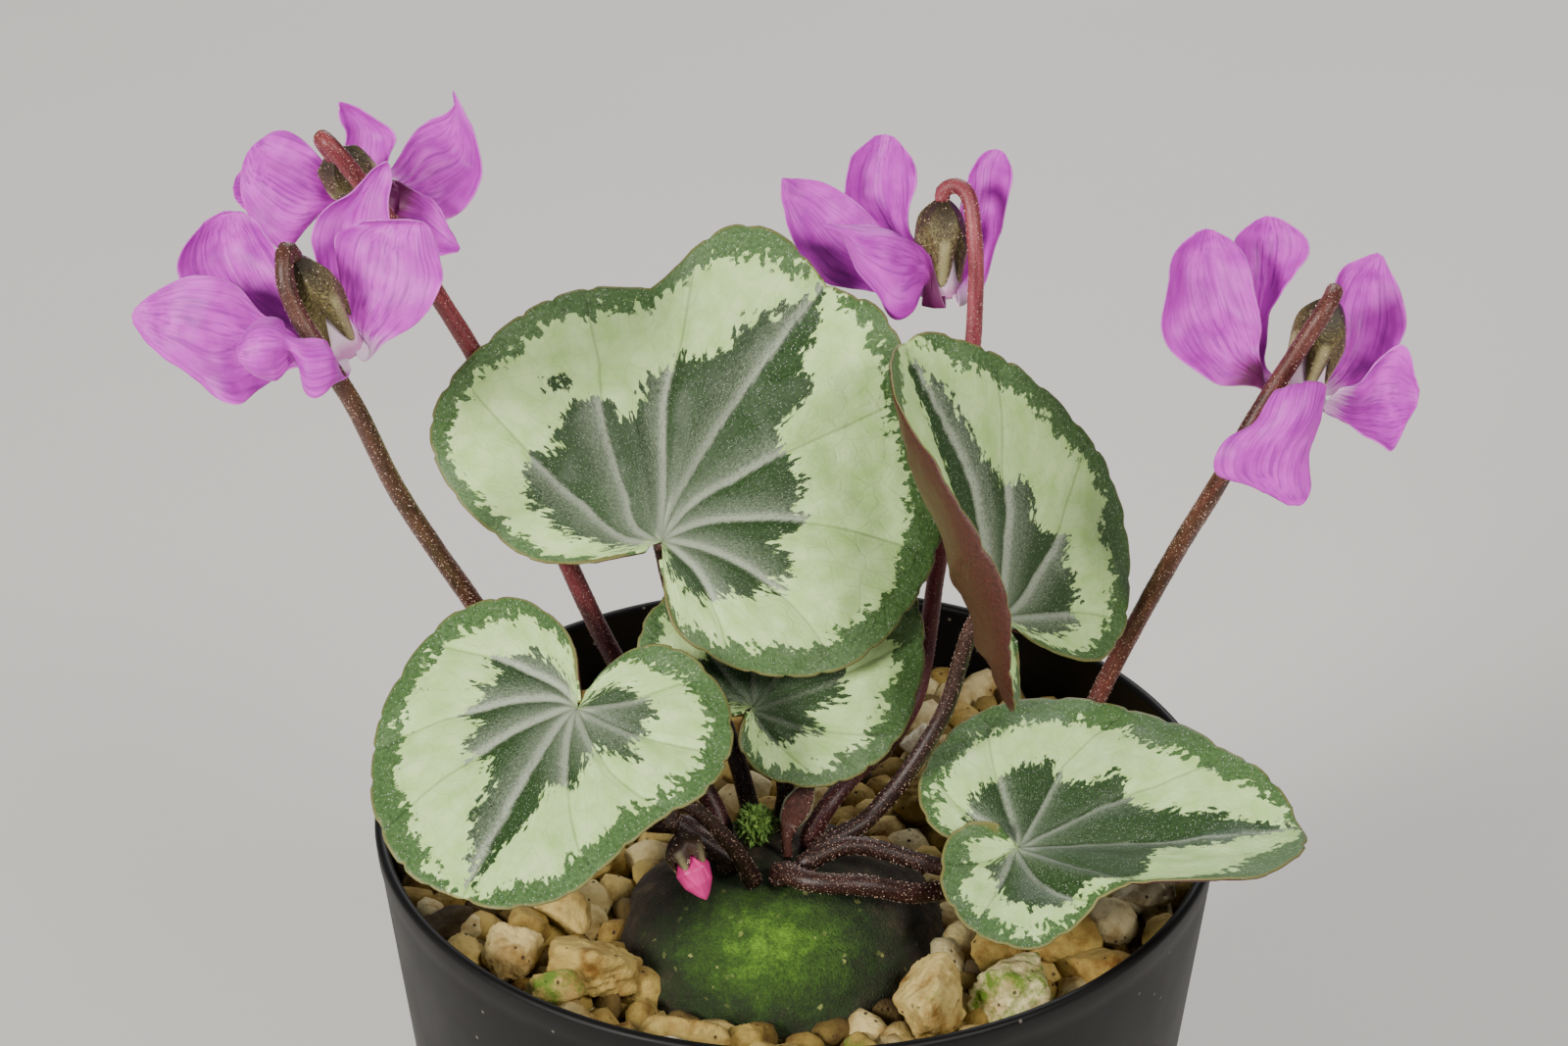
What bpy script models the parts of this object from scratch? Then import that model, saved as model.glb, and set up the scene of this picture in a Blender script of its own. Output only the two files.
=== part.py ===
"""A hardy cyclamen in flower, growing in a small round black pot.

Sizes are in millimetres and are turned to metres where a mesh or a curve is made.
The origin is the centre of the pot's flat underside, +Z is up, and +Y is away from
the side that the plant shows best, so the leaves and flowers face -Y.
"""

import math

import bmesh
import bpy
from mathutils import Matrix, Vector, noise

MM = 0.001
GAP = 0.3                      # clear space between pieces that touch

# Pot: a thin round nursery pot, as wide at the rim as it is tall
POT_HEIGHT = 87.0
RIM_RADIUS = 45.0
BASE_RADIUS = 35.0
POT_WALL = 0.9
POT_FLOOR = 1.4
POT_STEPS = 48
DRAIN_HOLES = 5
DRAIN_RADIUS = 3.5
DRAIN_CIRCLE = 22.0

# What the pot holds, from the bottom up
SOIL_TOP = 66.5
GRIT_TOP = 79.0

# Tuber: a flattened ball, half buried in the grit and nearer the front of the pot
TUBER_CENTRE = Vector((-1.4, -13.5, 78.0))
TUBER_RADIUS = 17.5
TUBER_HALF_HEIGHT = 10.4

# Leaves, stems and flowers
LEAF_THICKNESS = 0.6
LEAF_RAYS = 34
LEAF_RINGS = (0.3, 0.62, 0.86, 1.0)
PETAL_THICKNESS = 0.4
PETAL_STATIONS = 8
PETAL_LANES = 4
STEM_SIDES = 2                 # bevel resolution: eight sides
FACE_TILT = 30.0               # the flowers are laid out on a frame leaning back this far
FLOWER_RING = 2.35             # radius of the ring that the petals spring from
PETAL_ROOT = 1.1               # half the width of a petal where it springs
PETAL_CLEAR = 0.5              # how far below the mouth's rim a petal springs
PETAL_LEAVE = 2.6              # how far it runs before it turns back


def clear_scene():
    for item in list(bpy.data.objects):
        bpy.data.objects.remove(item, do_unlink=True)


def new_collection(name):
    collection = bpy.data.collections.new(name)
    bpy.context.scene.collection.children.link(collection)
    return collection


def make_material(name, colour, roughness, metallic=0.0):
    material = bpy.data.materials.new(name)
    material.use_nodes = True
    shader = material.node_tree.nodes["Principled BSDF"]
    shader.inputs["Base Color"].default_value = (*colour, 1.0)
    shader.inputs["Roughness"].default_value = roughness
    shader.inputs["Metallic"].default_value = metallic
    return material


def add_mesh(name, points, faces, material, smooth=True):
    """An object from points in millimetres and the faces between them."""
    mesh = bpy.data.meshes.new(name)
    mesh.from_pydata([Vector(point) * MM for point in points], [], faces)
    mesh.update()
    if smooth:
        mesh.shade_smooth()
    item = bpy.data.objects.new(name, mesh)
    item.data.materials.append(material)
    PARTS.objects.link(item)
    return item


def add_profile(name, profile, steps, material):
    """A turned piece: (radius, height) points, spun about Z by a Screw modifier."""
    mesh = bpy.data.meshes.new(name)
    points = [(radius * MM, 0.0, height * MM) for radius, height in profile]
    mesh.from_pydata(points, [(i, i + 1) for i in range(len(points) - 1)], [])
    item = bpy.data.objects.new(name, mesh)
    item.data.materials.append(material)
    PARTS.objects.link(item)
    screw = item.modifiers.new("Turn", "SCREW")
    screw.steps = steps
    screw.render_steps = steps
    screw.use_merge_vertices = True
    screw.merge_threshold = 0.00001
    screw.use_smooth_shade = True
    return item


def solidify(item, thickness, offset):
    shell = item.modifiers.new("Thickness", "SOLIDIFY")
    shell.thickness = thickness * MM
    shell.offset = offset
    shell.use_even_offset = False
    return shell


def cutter_for(item, cutter, name="Cut"):
    """Lets the cutter take its shape out of the item."""
    cutter.hide_render = True
    cutter.display_type = "WIRE"
    cut = item.modifiers.new(name, "BOOLEAN")
    cut.operation = "DIFFERENCE"
    cut.solver = "EXACT"
    cut.object = cutter


def hermite(a, b, slope_a, slope_b, t):
    """A smooth value between a and b that leaves and arrives at the given slopes."""
    return ((2 * t**3 - 3 * t**2 + 1) * a + (t**3 - 2 * t**2 + t) * slope_a
            + (-2 * t**3 + 3 * t**2) * b + (t**3 - t**2) * slope_b)


def smooth_path(points, count):
    """Points evenly spread by parameter on a smooth curve through the given ones."""
    points = [Vector(point) for point in points]
    last = len(points) - 1
    ways = [(points[min(i + 1, last)] - points[max(i - 1, 0)]).normalized()
            for i in range(len(points))]
    path = []
    for step in range(count):
        place = step / (count - 1) * last
        i = min(int(place), last - 1)
        reach = (points[i + 1] - points[i]).length
        path.append(hermite(points[i], points[i + 1], ways[i] * reach, ways[i + 1] * reach,
                            place - i))
    return path


def evened(fine, count):
    """Points the same distance apart along a finely drawn line."""
    lengths = [0.0]
    for a, b in zip(fine, fine[1:]):
        lengths.append(lengths[-1] + (b - a).length)
    path = []
    i = 0
    for step in range(count):
        wanted = lengths[-1] * step / (count - 1)
        while i < len(fine) - 2 and lengths[i + 1] < wanted:
            i += 1
        share = (wanted - lengths[i]) / max(lengths[i + 1] - lengths[i], 1e-9)
        path.append(fine[i].lerp(fine[i + 1], min(max(share, 0.0), 1.0)))
    return path


def add_stem(name, route, radius_low, radius_high, material):
    """A round stem along a smooth route, from its foot to its top."""
    path = smooth_path(route, 2 * len(route) - 1)
    count = len(path)
    curve = bpy.data.curves.new(name, "CURVE")
    curve.dimensions = "3D"
    curve.bevel_depth = MM
    curve.bevel_resolution = STEM_SIDES
    curve.use_fill_caps = True
    spline = curve.splines.new("POLY")
    spline.points.add(count - 1)
    for i, point in enumerate(path):
        spline.points[i].co = (*(point * MM), 1.0)
        spline.points[i].radius = radius_low + (radius_high - radius_low) * i / (count - 1)
    item = bpy.data.objects.new(name, curve)
    item.data.materials.append(material)
    PARTS.objects.link(item)
    return item


def tuber_height(x, y):
    """The height of the tuber's skin above a place on it."""
    reach = math.hypot(x - TUBER_CENTRE.x, y - TUBER_CENTRE.y) / TUBER_RADIUS
    return TUBER_CENTRE.z + TUBER_HALF_HEIGHT * math.sqrt(max(1.0 - reach * reach, 0.0))


def crown_foot(x, y):
    """Where a stem stands on the tuber's crown, clear of its slope all round."""
    around = ((x + 1, y), (x - 1, y), (x, y + 1), (x, y - 1))
    return Vector((x, y, max(tuber_height(*place) for place in around) + GAP))


# The pot and what fills it

def pot_radius(height):
    """The pot's outer radius at a height above its underside."""
    return BASE_RADIUS + (RIM_RADIUS - BASE_RADIUS) * height / POT_HEIGHT


def build_pot():
    rim_round = 0.3
    profile = [
        (0.0, POT_FLOOR),
        (pot_radius(POT_FLOOR) - POT_WALL - 1.0, POT_FLOOR),
        (pot_radius(POT_FLOOR + 1.0) - POT_WALL, POT_FLOOR + 1.0),
        (RIM_RADIUS - POT_WALL, POT_HEIGHT - rim_round),
        (RIM_RADIUS - POT_WALL + rim_round, POT_HEIGHT),
        (RIM_RADIUS - rim_round, POT_HEIGHT),
        (RIM_RADIUS, POT_HEIGHT - rim_round),
        (pot_radius(1.0), 1.0),
        (BASE_RADIUS - 1.0, 0.0),
        (0.0, 0.0),
    ]
    pot = add_profile("pot", profile, POT_STEPS, BLACK_PLASTIC)
    for i in range(DRAIN_HOLES):
        angle = 2 * math.pi * i / DRAIN_HOLES
        place = (DRAIN_CIRCLE * math.cos(angle) * MM, DRAIN_CIRCLE * math.sin(angle) * MM, 0.0)
        bpy.ops.mesh.primitive_cylinder_add(
            vertices=16, radius=DRAIN_RADIUS * MM, depth=6 * POT_FLOOR * MM, location=place)
        drill = bpy.context.object
        drill.name = f"drain_cutter_{i + 1}"
        for collection in list(drill.users_collection):
            collection.objects.unlink(drill)
        CUTTERS.objects.link(drill)
        cutter_for(pot, drill, f"Drain {i + 1}")


def fill_profile(low, high):
    """A plug that fills the pot between two heights, clear of its wall."""
    inside = POT_WALL + GAP
    return [(0.0, high), (pot_radius(high) - inside, high),
            (pot_radius(low) - inside, low), (0.0, low)]


def build_fill():
    floor = POT_FLOOR + 1.0 + GAP
    add_profile("potting_soil", fill_profile(floor, SOIL_TOP), 36, SOIL)
    bed = add_profile("gravel_bed", fill_profile(SOIL_TOP + GAP, GRIT_TOP), 36, GRIT)
    bpy.ops.mesh.primitive_uv_sphere_add(segments=24, ring_count=14, radius=MM)
    socket = bpy.context.object
    socket.name = "tuber_socket_cutter"
    spare = 2 * GAP
    socket.location = TUBER_CENTRE * MM
    socket.scale = (TUBER_RADIUS + spare, TUBER_RADIUS + spare, TUBER_HALF_HEIGHT + spare)
    for collection in list(socket.users_collection):
        collection.objects.unlink(socket)
    CUTTERS.objects.link(socket)
    cutter_for(bed, socket)


def build_tuber():
    mesh = bpy.data.meshes.new("tuber")
    shape = bmesh.new()
    bmesh.ops.create_uvsphere(shape, u_segments=24, v_segments=14, radius=1.0)
    for vertex in shape.verts:
        lump = 1.0 - 0.05 * abs(noise.noise(vertex.co * 1.6))
        vertex.co = Vector((
            TUBER_CENTRE.x + vertex.co.x * TUBER_RADIUS * lump,
            TUBER_CENTRE.y + vertex.co.y * TUBER_RADIUS * lump,
            TUBER_CENTRE.z + vertex.co.z * TUBER_HALF_HEIGHT,
        )) * MM
    shape.to_mesh(mesh)
    shape.free()
    mesh.shade_smooth()
    tuber = bpy.data.objects.new("tuber", mesh)
    tuber.data.materials.append(TUBER_SKIN)
    PARTS.objects.link(tuber)


# The larger stones: place on the grit, length, width, height and turn, in millimetres and degrees
STONES = {
    "stone_ochre": (-21.0, -24.6, 10.5, 8.5, 7.0, 20),
    "stone_yellow": (-11.5, -36.0, 9.5, 6.5, 5.5, -15),
    "stone_cream": (-29.5, -20.5, 6.5, 6.0, 5.5, 0),
    "stone_grey_green": (13.3, -31.5, 8.5, 7.0, 9.0, 60),
    "stone_speckled": (22.3, -28.5, 9.0, 7.5, 6.5, 35),
    "stone_tan": (27.5, -18.0, 9.0, 7.5, 5.5, 10),
    "stone_white": (36.0, -10.0, 7.0, 7.0, 6.0, 40),
    "stone_amber": (14.0, 8.5, 8.0, 7.0, 6.0, 75),
}


def build_stones():
    for seed, (name, row) in enumerate(STONES.items()):
        x, y, length, width, height, turn = row
        mesh = bpy.data.meshes.new(name)
        shape = bmesh.new()
        bmesh.ops.create_icosphere(shape, subdivisions=2, radius=1.0)
        for vertex in shape.verts:
            chip = 1.0 - 0.22 * abs(noise.noise(vertex.co * 1.3 + Vector((seed * 7.3, 0, 0))))
            vertex.co = Vector((vertex.co.x * length / 2, vertex.co.y * width / 2,
                                vertex.co.z * height / 2)) * chip * MM
        lowest = min(vertex.co.z for vertex in shape.verts)
        shape.to_mesh(mesh)
        shape.free()
        stone = bpy.data.objects.new(name, mesh)
        stone.location = (x * MM, y * MM, (GRIT_TOP + GAP) * MM - lowest)
        stone.rotation_euler.z = math.radians(turn)
        stone.data.materials.append(GRIT)
        PARTS.objects.link(stone)


# Leaves: where the stalk meets the blade, the way the upper face looks, the way the tip
# points, and the outline as degrees from the midrib and millimetres from the stalk.
# Positive degrees are the left half, seen from above with the tip away from the eye.
# A half's bend is its slope at the midrib and at the margin; a pleat is a dent along a vein.
LEAVES = {
    "leaf_large": dict(
        attach=(-13.9, -2.0, 120.1), face=(0.05, -0.80, 0.60), tip=(3.2, 14.9, 141.2),
        half=26.0, left=(12, -14), right=(8, -22), pleats=[(38, -3.5, 13)],
        outline=[(-145, 4), (-140, 8.5), (-124, 13), (-108, 18), (-90, 23.5), (-72, 27),
                 (-55, 29.5), (-38, 30.2), (-22, 31.5), (-10, 33), (0, 32), (12, 34),
                 (20, 33.5), (26, 31), (34, 27.2), (49, 27.6), (66, 27.5), (88, 27.3),
                 (98, 26), (108, 22.5), (120, 17.5), (132, 13), (139, 8), (143, 4)]),
    "leaf_left": dict(
        attach=(-22.4, -15.0, 108.4), face=(-0.10, -0.50, 0.86), tip=(-33.3, -32.5, 97.0),
        half=18.0, left=(10, -15), right=(10, -12), pleats=[],
        outline=[(-152, 3), (-149, 6), (-138, 10.4), (-123, 14.4), (-107, 16.8), (-88, 18.5),
                 (-68, 20), (-48, 21.7), (-30, 23.4), (-14, 24.5), (0, 23.7), (10, 23.8),
                 (25, 21.5), (40, 18.3), (58, 16), (80, 17.1), (100, 16.7), (118, 15.3),
                 (136, 13), (153, 10.5), (166, 8), (175, 4.5)]),
    "leaf_small": dict(
        attach=(-4.7, -8.0, 103.8), face=(0.05, -0.75, 0.66), tip=(6.8, 3.5, 116.0),
        half=14.0, left=(10, -10), right=(10, -20), pleats=[],
        outline=[(-172, 2), (-162, 4.3), (-145, 6.2), (-128, 8.1), (-106, 10.8), (-86, 13.4),
                 (-65, 16.1), (-47, 18), (-32, 19.7), (-15, 21), (0, 20.3), (15, 19.5),
                 (35, 17.5), (55, 15.6), (73, 14.8), (88, 14.2), (102, 12.8), (116, 11),
                 (130, 8.4), (142, 5), (146, 2.5)]),
    "leaf_right": dict(
        attach=(22.7, -15.6, 92.0), face=(-0.05, -0.22, 0.97), tip=(51.8, -14.9, 93.7),
        half=20.0, left=(10, 0), right=(3, 5), pleats=[(-33, 6.0, 22), (-190, 2.5, 35)],
        outline=[(-206, 2.5), (-194, 5), (-178, 6.9), (-160, 8.4), (-143, 10.2), (-126, 12),
                 (-108, 14), (-91, 15.1), (-74, 14), (-58, 13.2), (-47, 15), (-38, 20.5),
                 (-30, 25.5), (-20, 28), (-10, 29.5), (0, 29.2), (10, 28), (23, 25),
                 (40, 23), (60, 21.2), (80, 19.7), (100, 17.8), (120, 15.2), (143, 12.1),
                 (158, 9.8), (168, 7), (172, 4)]),
    "leaf_folded": dict(
        attach=(20.9, -8.0, 114.8), face=(0.66, -0.55, 0.50), tip=(10.6, 2.7, 140.2),
        half=22.0, left=(15, 90), right=(10, -5), pleats=[],
        outline=[(-150, 3), (-141, 8), (-135, 12), (-126, 14.8), (-110, 17.8), (-90, 20),
                 (-72, 21.8), (-53, 23.6), (-35, 25.8), (-20, 27.5), (-8, 29.8), (0, 29.6),
                 (10, 29), (25, 27), (45, 24), (65, 21), (90, 18), (110, 15), (130, 12.5),
                 (145, 10.5), (157, 9.5), (167, 8.5), (174, 6), (178, 3)]),
}


def leaf_frame(leaf):
    """The directions that a leaf is laid out on: along the midrib, to the left, and up."""
    attach = Vector(leaf["attach"])
    up = Vector(leaf["face"]).normalized()
    along = Vector(leaf["tip"]) - attach
    along = (along - up * along.dot(up)).normalized()
    return attach, along, up.cross(along), up


def outline_radius(outline, angle):
    """How far the margin lies from the stalk at an angle, on a smooth curve."""
    i = 0
    while i < len(outline) - 2 and outline[i + 1][0] < angle:
        i += 1
    last = len(outline) - 1
    before = outline[max(i - 1, 0)]
    start = outline[i]
    end = outline[i + 1]
    after = outline[min(i + 2, last)]
    span = end[0] - start[0]
    slope_start = (end[1] - before[1]) / (end[0] - before[0]) * span
    slope_end = (after[1] - start[1]) / (after[0] - start[0]) * span
    return hermite(start[1], end[1], slope_start, slope_end, (angle - start[0]) / span)


def leaf_point(leaf, angle, share):
    """A place on the upper face: an angle from the midrib and a share of the way out."""
    attach, along, left, up = leaf_frame(leaf)
    reach = outline_radius(leaf["outline"], angle) * share
    forward = reach * math.cos(math.radians(angle))
    sideways = reach * math.sin(math.radians(angle))
    slope_in, slope_out = leaf["left"] if angle >= 0 else leaf["right"]
    start = math.radians(slope_in)
    rate = (math.radians(slope_out) - start) / leaf["half"]
    if abs(rate) < 1e-6:
        rate = 1e-6
    turned = start + rate * abs(sideways)
    across = (math.sin(turned) - math.sin(start)) / rate
    rise = (math.cos(start) - math.cos(turned)) / rate
    if abs(angle) > 180.0:
        across = -across
    for middle, height, width in leaf["pleats"]:
        rise += height * share**1.5 * math.exp(-((angle - middle) / width) ** 2)
    side = 1.0 if angle >= 0 else -1.0
    return attach + along * forward + left * (side * across) + up * rise


def build_leaf(name, leaf):
    """A blade: a fan of rays from the stalk, given its thickness downwards."""
    first = leaf["outline"][0][0]
    last = leaf["outline"][-1][0]
    points = [Vector(leaf["attach"])]
    for share in LEAF_RINGS:
        for ray in range(LEAF_RAYS + 1):
            angle = first + (last - first) * ray / LEAF_RAYS
            points.append(leaf_point(leaf, angle, share))
    row = LEAF_RAYS + 1
    faces = []
    for ray in range(LEAF_RAYS):
        faces.append((0, 1 + ray, 2 + ray))
        for ring in range(len(LEAF_RINGS) - 1):
            corner = 1 + ring * row + ray
            faces.append((corner, corner + row, corner + row + 1, corner + 1))
    blade = add_mesh(name, points, faces, LEAF_GREEN)
    solidify(blade, LEAF_THICKNESS, -1.0)


# Leaf stalks: foot on the crown, then places on the way to the blade
PETIOLES = {
    "petiole_large": ("leaf_large", (-4.8, -5.4), [(-7.0, -2.4, 96.0), (-12.0, 2.8, 107.0)]),
    "petiole_left": ("leaf_left", (-7.2, -14.9), [(-12.5, -14.5, 93.8), (-19.0, -13.0, 101.5)]),
    "petiole_small": ("leaf_small", (-1.5, -7.0), [(-1.2, -6.6, 93.0), (-2.6, -5.0, 98.5)]),
    "petiole_right": ("leaf_right", (0.9, -15.9), [(6.0, -14.6, 91.0), (15.0, -15.6, 89.0)]),
    "petiole_folded": ("leaf_folded", (2.2, -13.4), [(7.8, -9.8, 91.6), (14.8, -6.4, 101.0)]),
}
PETIOLE_RADIUS = (1.0, 0.85)
PETIOLE_TURN = 3.0             # how far below the blade a stalk turns towards it


def build_petiole(name, leaf_name, base, way):
    leaf = LEAVES[leaf_name]
    attach, along, left, up = leaf_frame(leaf)
    seat = attach - up * (LEAF_THICKNESS + GAP)
    foot = crown_foot(*base)
    route = [foot, foot + Vector((0.0, 0.0, 1.2)), *way, seat - up * PETIOLE_TURN, seat]
    add_stem(name, route, *PETIOLE_RADIUS, STALK_BROWN)


# Flowers, on a frame that leans back by FACE_TILT: across, up and towards the eye.
# Every place is measured from the flower's mouth. A petal springs from the mouth's ring at
# a bearing around the way the flower hangs, passes near `by` and ends at `tip`; `wide` is
# half its width, `peak` where it is widest, `twist` its turn in degrees and `cup` its hollow.
FLOWERS = {
    "flower_1": dict(
        mouth=(-44.4, -12.0, 147.5), hang=(0.36, -0.74, -0.56), length=9.0, foot=(-8.2, -11.6),
        way=[(-10.8, -11.2, 91.0), (-17.8, -9.0, 91.2), (-26.0, -3.0, 98.9), (-33.2, -2.0, 112.1),
             (-36.7, -7.0, 122.0), (-40.0, -12.0, 132.1), (-42.8, -17.0, 143.4)],
        hook=[(0.0, -2.9, 6.4), (-1.8, -0.1, 7.0), (-3.6, 3.0, 7.4), (-4.6, 5.6, 8.0),
              (-4.8, 7.6, 8.0), (-4.4, 8.5, 7.0)],
        petals=[
            dict(root=24, by=(8.5, 4.5, 4), tip=(9, 12.2, 1), wide=6.0, peak=0.7, twist=0, cup=1.0),
            dict(root=97, by=(-13, -0.5, 11), tip=(-2.6, -0.5, 10.5), wide=4.0, peak=0.7, twist=-35, cup=-1.0),
            dict(root=168, by=(-14.4, 1.6, 2), tip=(-19.8, 3.6, 1.5), wide=5.6, peak=0.62, twist=0, cup=-0.8),
            dict(root=240, by=(-9, 6, -5), tip=(-14.6, 13.2, -4), wide=5.6, peak=0.62, twist=0, cup=0.8),
            dict(root=312, by=(-1, 10, -7), tip=(4.3, 17.8, -6), wide=4.6, peak=0.5, twist=20, cup=1.0),
        ]),
    "flower_2": dict(
        mouth=(-44.2, 16.0, 150.6), hang=(0.31, -0.40, -0.86), length=9.0, foot=(-8.0, -7.6),
        way=[(-9.6, -6.0, 92.0), (-14.5, -1.0, 97.0), (-19.5, 4.0, 102.7), (-24.1, 7.0, 112.1),
             (-33.0, 12.0, 133.1)],
        hook=[(7.1, -10.1, -2.0), (4.2, -5.2, 2.2), (1.2, -0.8, 6.4), (-1.6, 3.0, 10.4),
              (-3.4, 4.9, 10.8)],
        petals=[
            dict(root=302, by=(11.2, 1.5, -3), tip=(8.9, 11, -2), wide=5.2, peak=0.5, twist=0, cup=0.8),
            dict(root=14, by=(6, -1.5, 2), tip=(9.3, -5.6, 2), wide=2.5, peak=0.6, twist=40, cup=0.6),
            dict(root=84, by=(-6, -4, 6), tip=(-10.5, 6.3, 1), wide=4.8, peak=0.6, twist=0, cup=0.8),
            dict(root=178, by=(-10.5, 0.5, -8), tip=(-12.8, 3.8, -10), wide=3.6, peak=0.6, twist=0, cup=0.5),
            dict(root=240, by=(2.5, 6, -5), tip=(-3.0, 9.8, -4), wide=3.4, peak=0.5, twist=0, cup=0.8),
        ]),
    "flower_3": dict(
        mouth=(14.8, 20.0, 137.5), hang=(-0.04, -0.95, -0.30), length=10.0, foot=(1.5, -10.6),
        way=[(3.4, -9.4, 92.8), (6.5, -5.4, 94.4), (9.9, 0.0, 94.6), (12.9, 4.6, 98.0),
             (14.9, 10.0, 109.7), (17.3, 14.5, 122.0)],
        hook=[(3.6, -5.3, 2.0), (3.8, 0.0, 3.6), (3.8, 2.8, 4.5), (3.6, 5.5, 5.0),
              (3.3, 8.5, 5.0), (2.8, 10.4, 4.7), (1.6, 11.3, 4.0)],
        petals=[
            dict(root=28, by=(5, 6, 0), tip=(6.4, 14.8, -1), wide=3.6, peak=0.6, twist=50, cup=0.6),
            dict(root=100, by=(-5, 3, 7), tip=(-11.8, 6.8, 5), wide=4.6, peak=0.5, twist=-35, cup=1.5),
            dict(root=172, by=(-12, 2.2, 0), tip=(-16.4, 11.8, -1), wide=4.3, peak=0.58, twist=-60, cup=0.6),
            dict(root=244, by=(-7.6, 8, -4), tip=(-5.7, 16.9, -4), wide=4.0, peak=0.65, twist=0, cup=0.9),
            dict(root=316, by=(2, 5, -7), tip=(2, 8, -12), wide=4.0, peak=0.6, twist=0, cup=0.6),
        ]),
    "flower_4": dict(
        mouth=(50.1, -5.0, 139.5), hang=(-0.26, -0.85, -0.45), length=9.0, foot=(-1.6, -17.6),
        way=[(1.4, -20.6, 90.6), (6.8, -20.8, 90.3), (13.0, -18.0, 87.4), (20.5, -10.0, 84.8),
             (27.5, -0.5, 88.5), (32.6, 5.4, 97.8), (38.7, -1.5, 117.9)],
        hook=[(-8.0, -9.1, 1.5), (-4.9, -3.4, 2.8), (-3.0, -0.2, 4.0), (-1.2, 2.8, 5.4),
              (0.2, 5.1, 6.6), (1.4, 7.0, 7.2), (2.4, 8.2, 6.4)],
        petals=[
            dict(root=28, by=(5, -2.2, 3), tip=(11.2, -0.8, 2), wide=4.0, peak=0.75, twist=75, cup=1.2),
            dict(root=92, by=(-1.2, -3, 9.5), tip=(-2.8, -11.7, 6.5), wide=4.6, peak=0.7, twist=0, cup=-0.6),
            dict(root=172, by=(-12.5, 1.5, 1), tip=(-8.7, 15.8, -1), wide=4.4, peak=0.6, twist=-75, cup=0.8),
            dict(root=244, by=(-4.5, 8, -4), tip=(-2, 17, -3), wide=3.6, peak=0.7, twist=0, cup=0.8),
            dict(root=316, by=(6.5, 5, -3), tip=(8.2, 13.3, -3), wide=4.5, peak=0.55, twist=0, cup=0.7),
        ]),
}
PEDICEL_RADIUS = (1.1, 0.9)
PEDICEL_CLEAR = 0.75


def face_vector(across, up, towards):
    """A direction on the flowers' leaning frame, in the part's own frame."""
    lean = math.radians(FACE_TILT)
    return Vector((across,
                   up * math.sin(lean) - towards * math.cos(lean),
                   up * math.cos(lean) + towards * math.sin(lean)))


def flower_frame(flower):
    """The mouth, the way the flower hangs, and two directions across its mouth."""
    mouth = Vector(flower["mouth"])
    hang = face_vector(*flower["hang"]).normalized()
    right = Vector((1.0, 0.0, 0.0))
    right = (right - hang * right.dot(hang)).normalized()
    return mouth, hang, right, hang.cross(right)


def place_on_axis(item, start, hang):
    """Stands a turned piece on the flower's axis, its +Z towards the mouth."""
    item.location = start * MM
    item.rotation_euler = hang.to_track_quat("Z", "Y").to_euler()


def build_calyx(name, start, hang, length, width, colour):
    """Five pointed sepals, grown together at the top, as one thin cup."""
    angles = 20
    rings = ((0.10, 0.36), (0.30, 0.78), (0.58, 1.0), (1.0, 1.0))
    turn = hang.to_track_quat("Z", "Y").to_matrix()
    points = [start]
    for share, swell in rings:
        for i in range(angles):
            angle = 2 * math.pi * i / angles
            point = 0.72 + 0.28 * abs(math.cos(2.5 * angle)) ** 0.7
            local = Vector((width * swell * math.cos(angle), width * swell * math.sin(angle),
                            length * share * point))
            points.append(start + turn @ local)
    faces = []
    for i in range(angles):
        after = (i + 1) % angles
        faces.append((0, 1 + after, 1 + i))
        for ring in range(len(rings) - 1):
            low = 1 + ring * angles
            high = low + angles
            faces.append((low + i, low + after, high + after, high + i))
    cup = add_mesh(name, points, faces, colour)
    solidify(cup, 0.4, -1.0)


def build_tube(name, start, hang, length):
    """The white tube inside the sepals, open at the mouth."""
    wall = 0.35
    outer = [(0.9, 2.0), (1.5, 3.3), (1.85, 0.62 * length), (2.15, 0.88 * length),
             (FLOWER_RING + wall / 2, length)]
    inner = [(radius - wall, height + (wall if i == 0 else 0.0))
             for i, (radius, height) in enumerate(outer)]
    profile = [(0.0, 2.0 + wall), *inner, *reversed(outer), (0.0, 2.0)]
    tube = add_profile(name, profile, 12, PETAL_WHITE)
    place_on_axis(tube, start, hang)


def petal_spine(flower, petal):
    """The line up the middle of a petal: points, and the way across it at its root."""
    mouth, hang, right, front = flower_frame(flower)
    angle = math.radians(petal["root"])
    outward = right * math.cos(angle) + front * math.sin(angle)
    root = mouth + outward * FLOWER_RING + hang * PETAL_CLEAR
    leave = root + (hang * 0.9 + outward * 0.8) * PETAL_LEAVE
    by = mouth + face_vector(*petal["by"])
    tip = mouth + face_vector(*petal["tip"])
    fine = []
    for step in range(61):
        t = step / 60
        fine.append(root * (1 - t) ** 3 + leave * 3 * t * (1 - t) ** 2
                    + by * 3 * t * t * (1 - t) + tip * t**3)
    return evened(fine, PETAL_STATIONS + 1), hang.cross(outward).normalized()


def petal_width(petal, share):
    """Half the petal's width at a share of its length: a narrow claw, then a round blade."""
    peak = petal["peak"]
    if share < peak:
        rise = share / peak
        return PETAL_ROOT + (petal["wide"] - PETAL_ROOT) * math.sin(rise * math.pi / 2) ** 1.5
    return petal["wide"] * (1 - ((share - peak) / (1 - peak)) ** 2.6) ** 0.5


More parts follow.
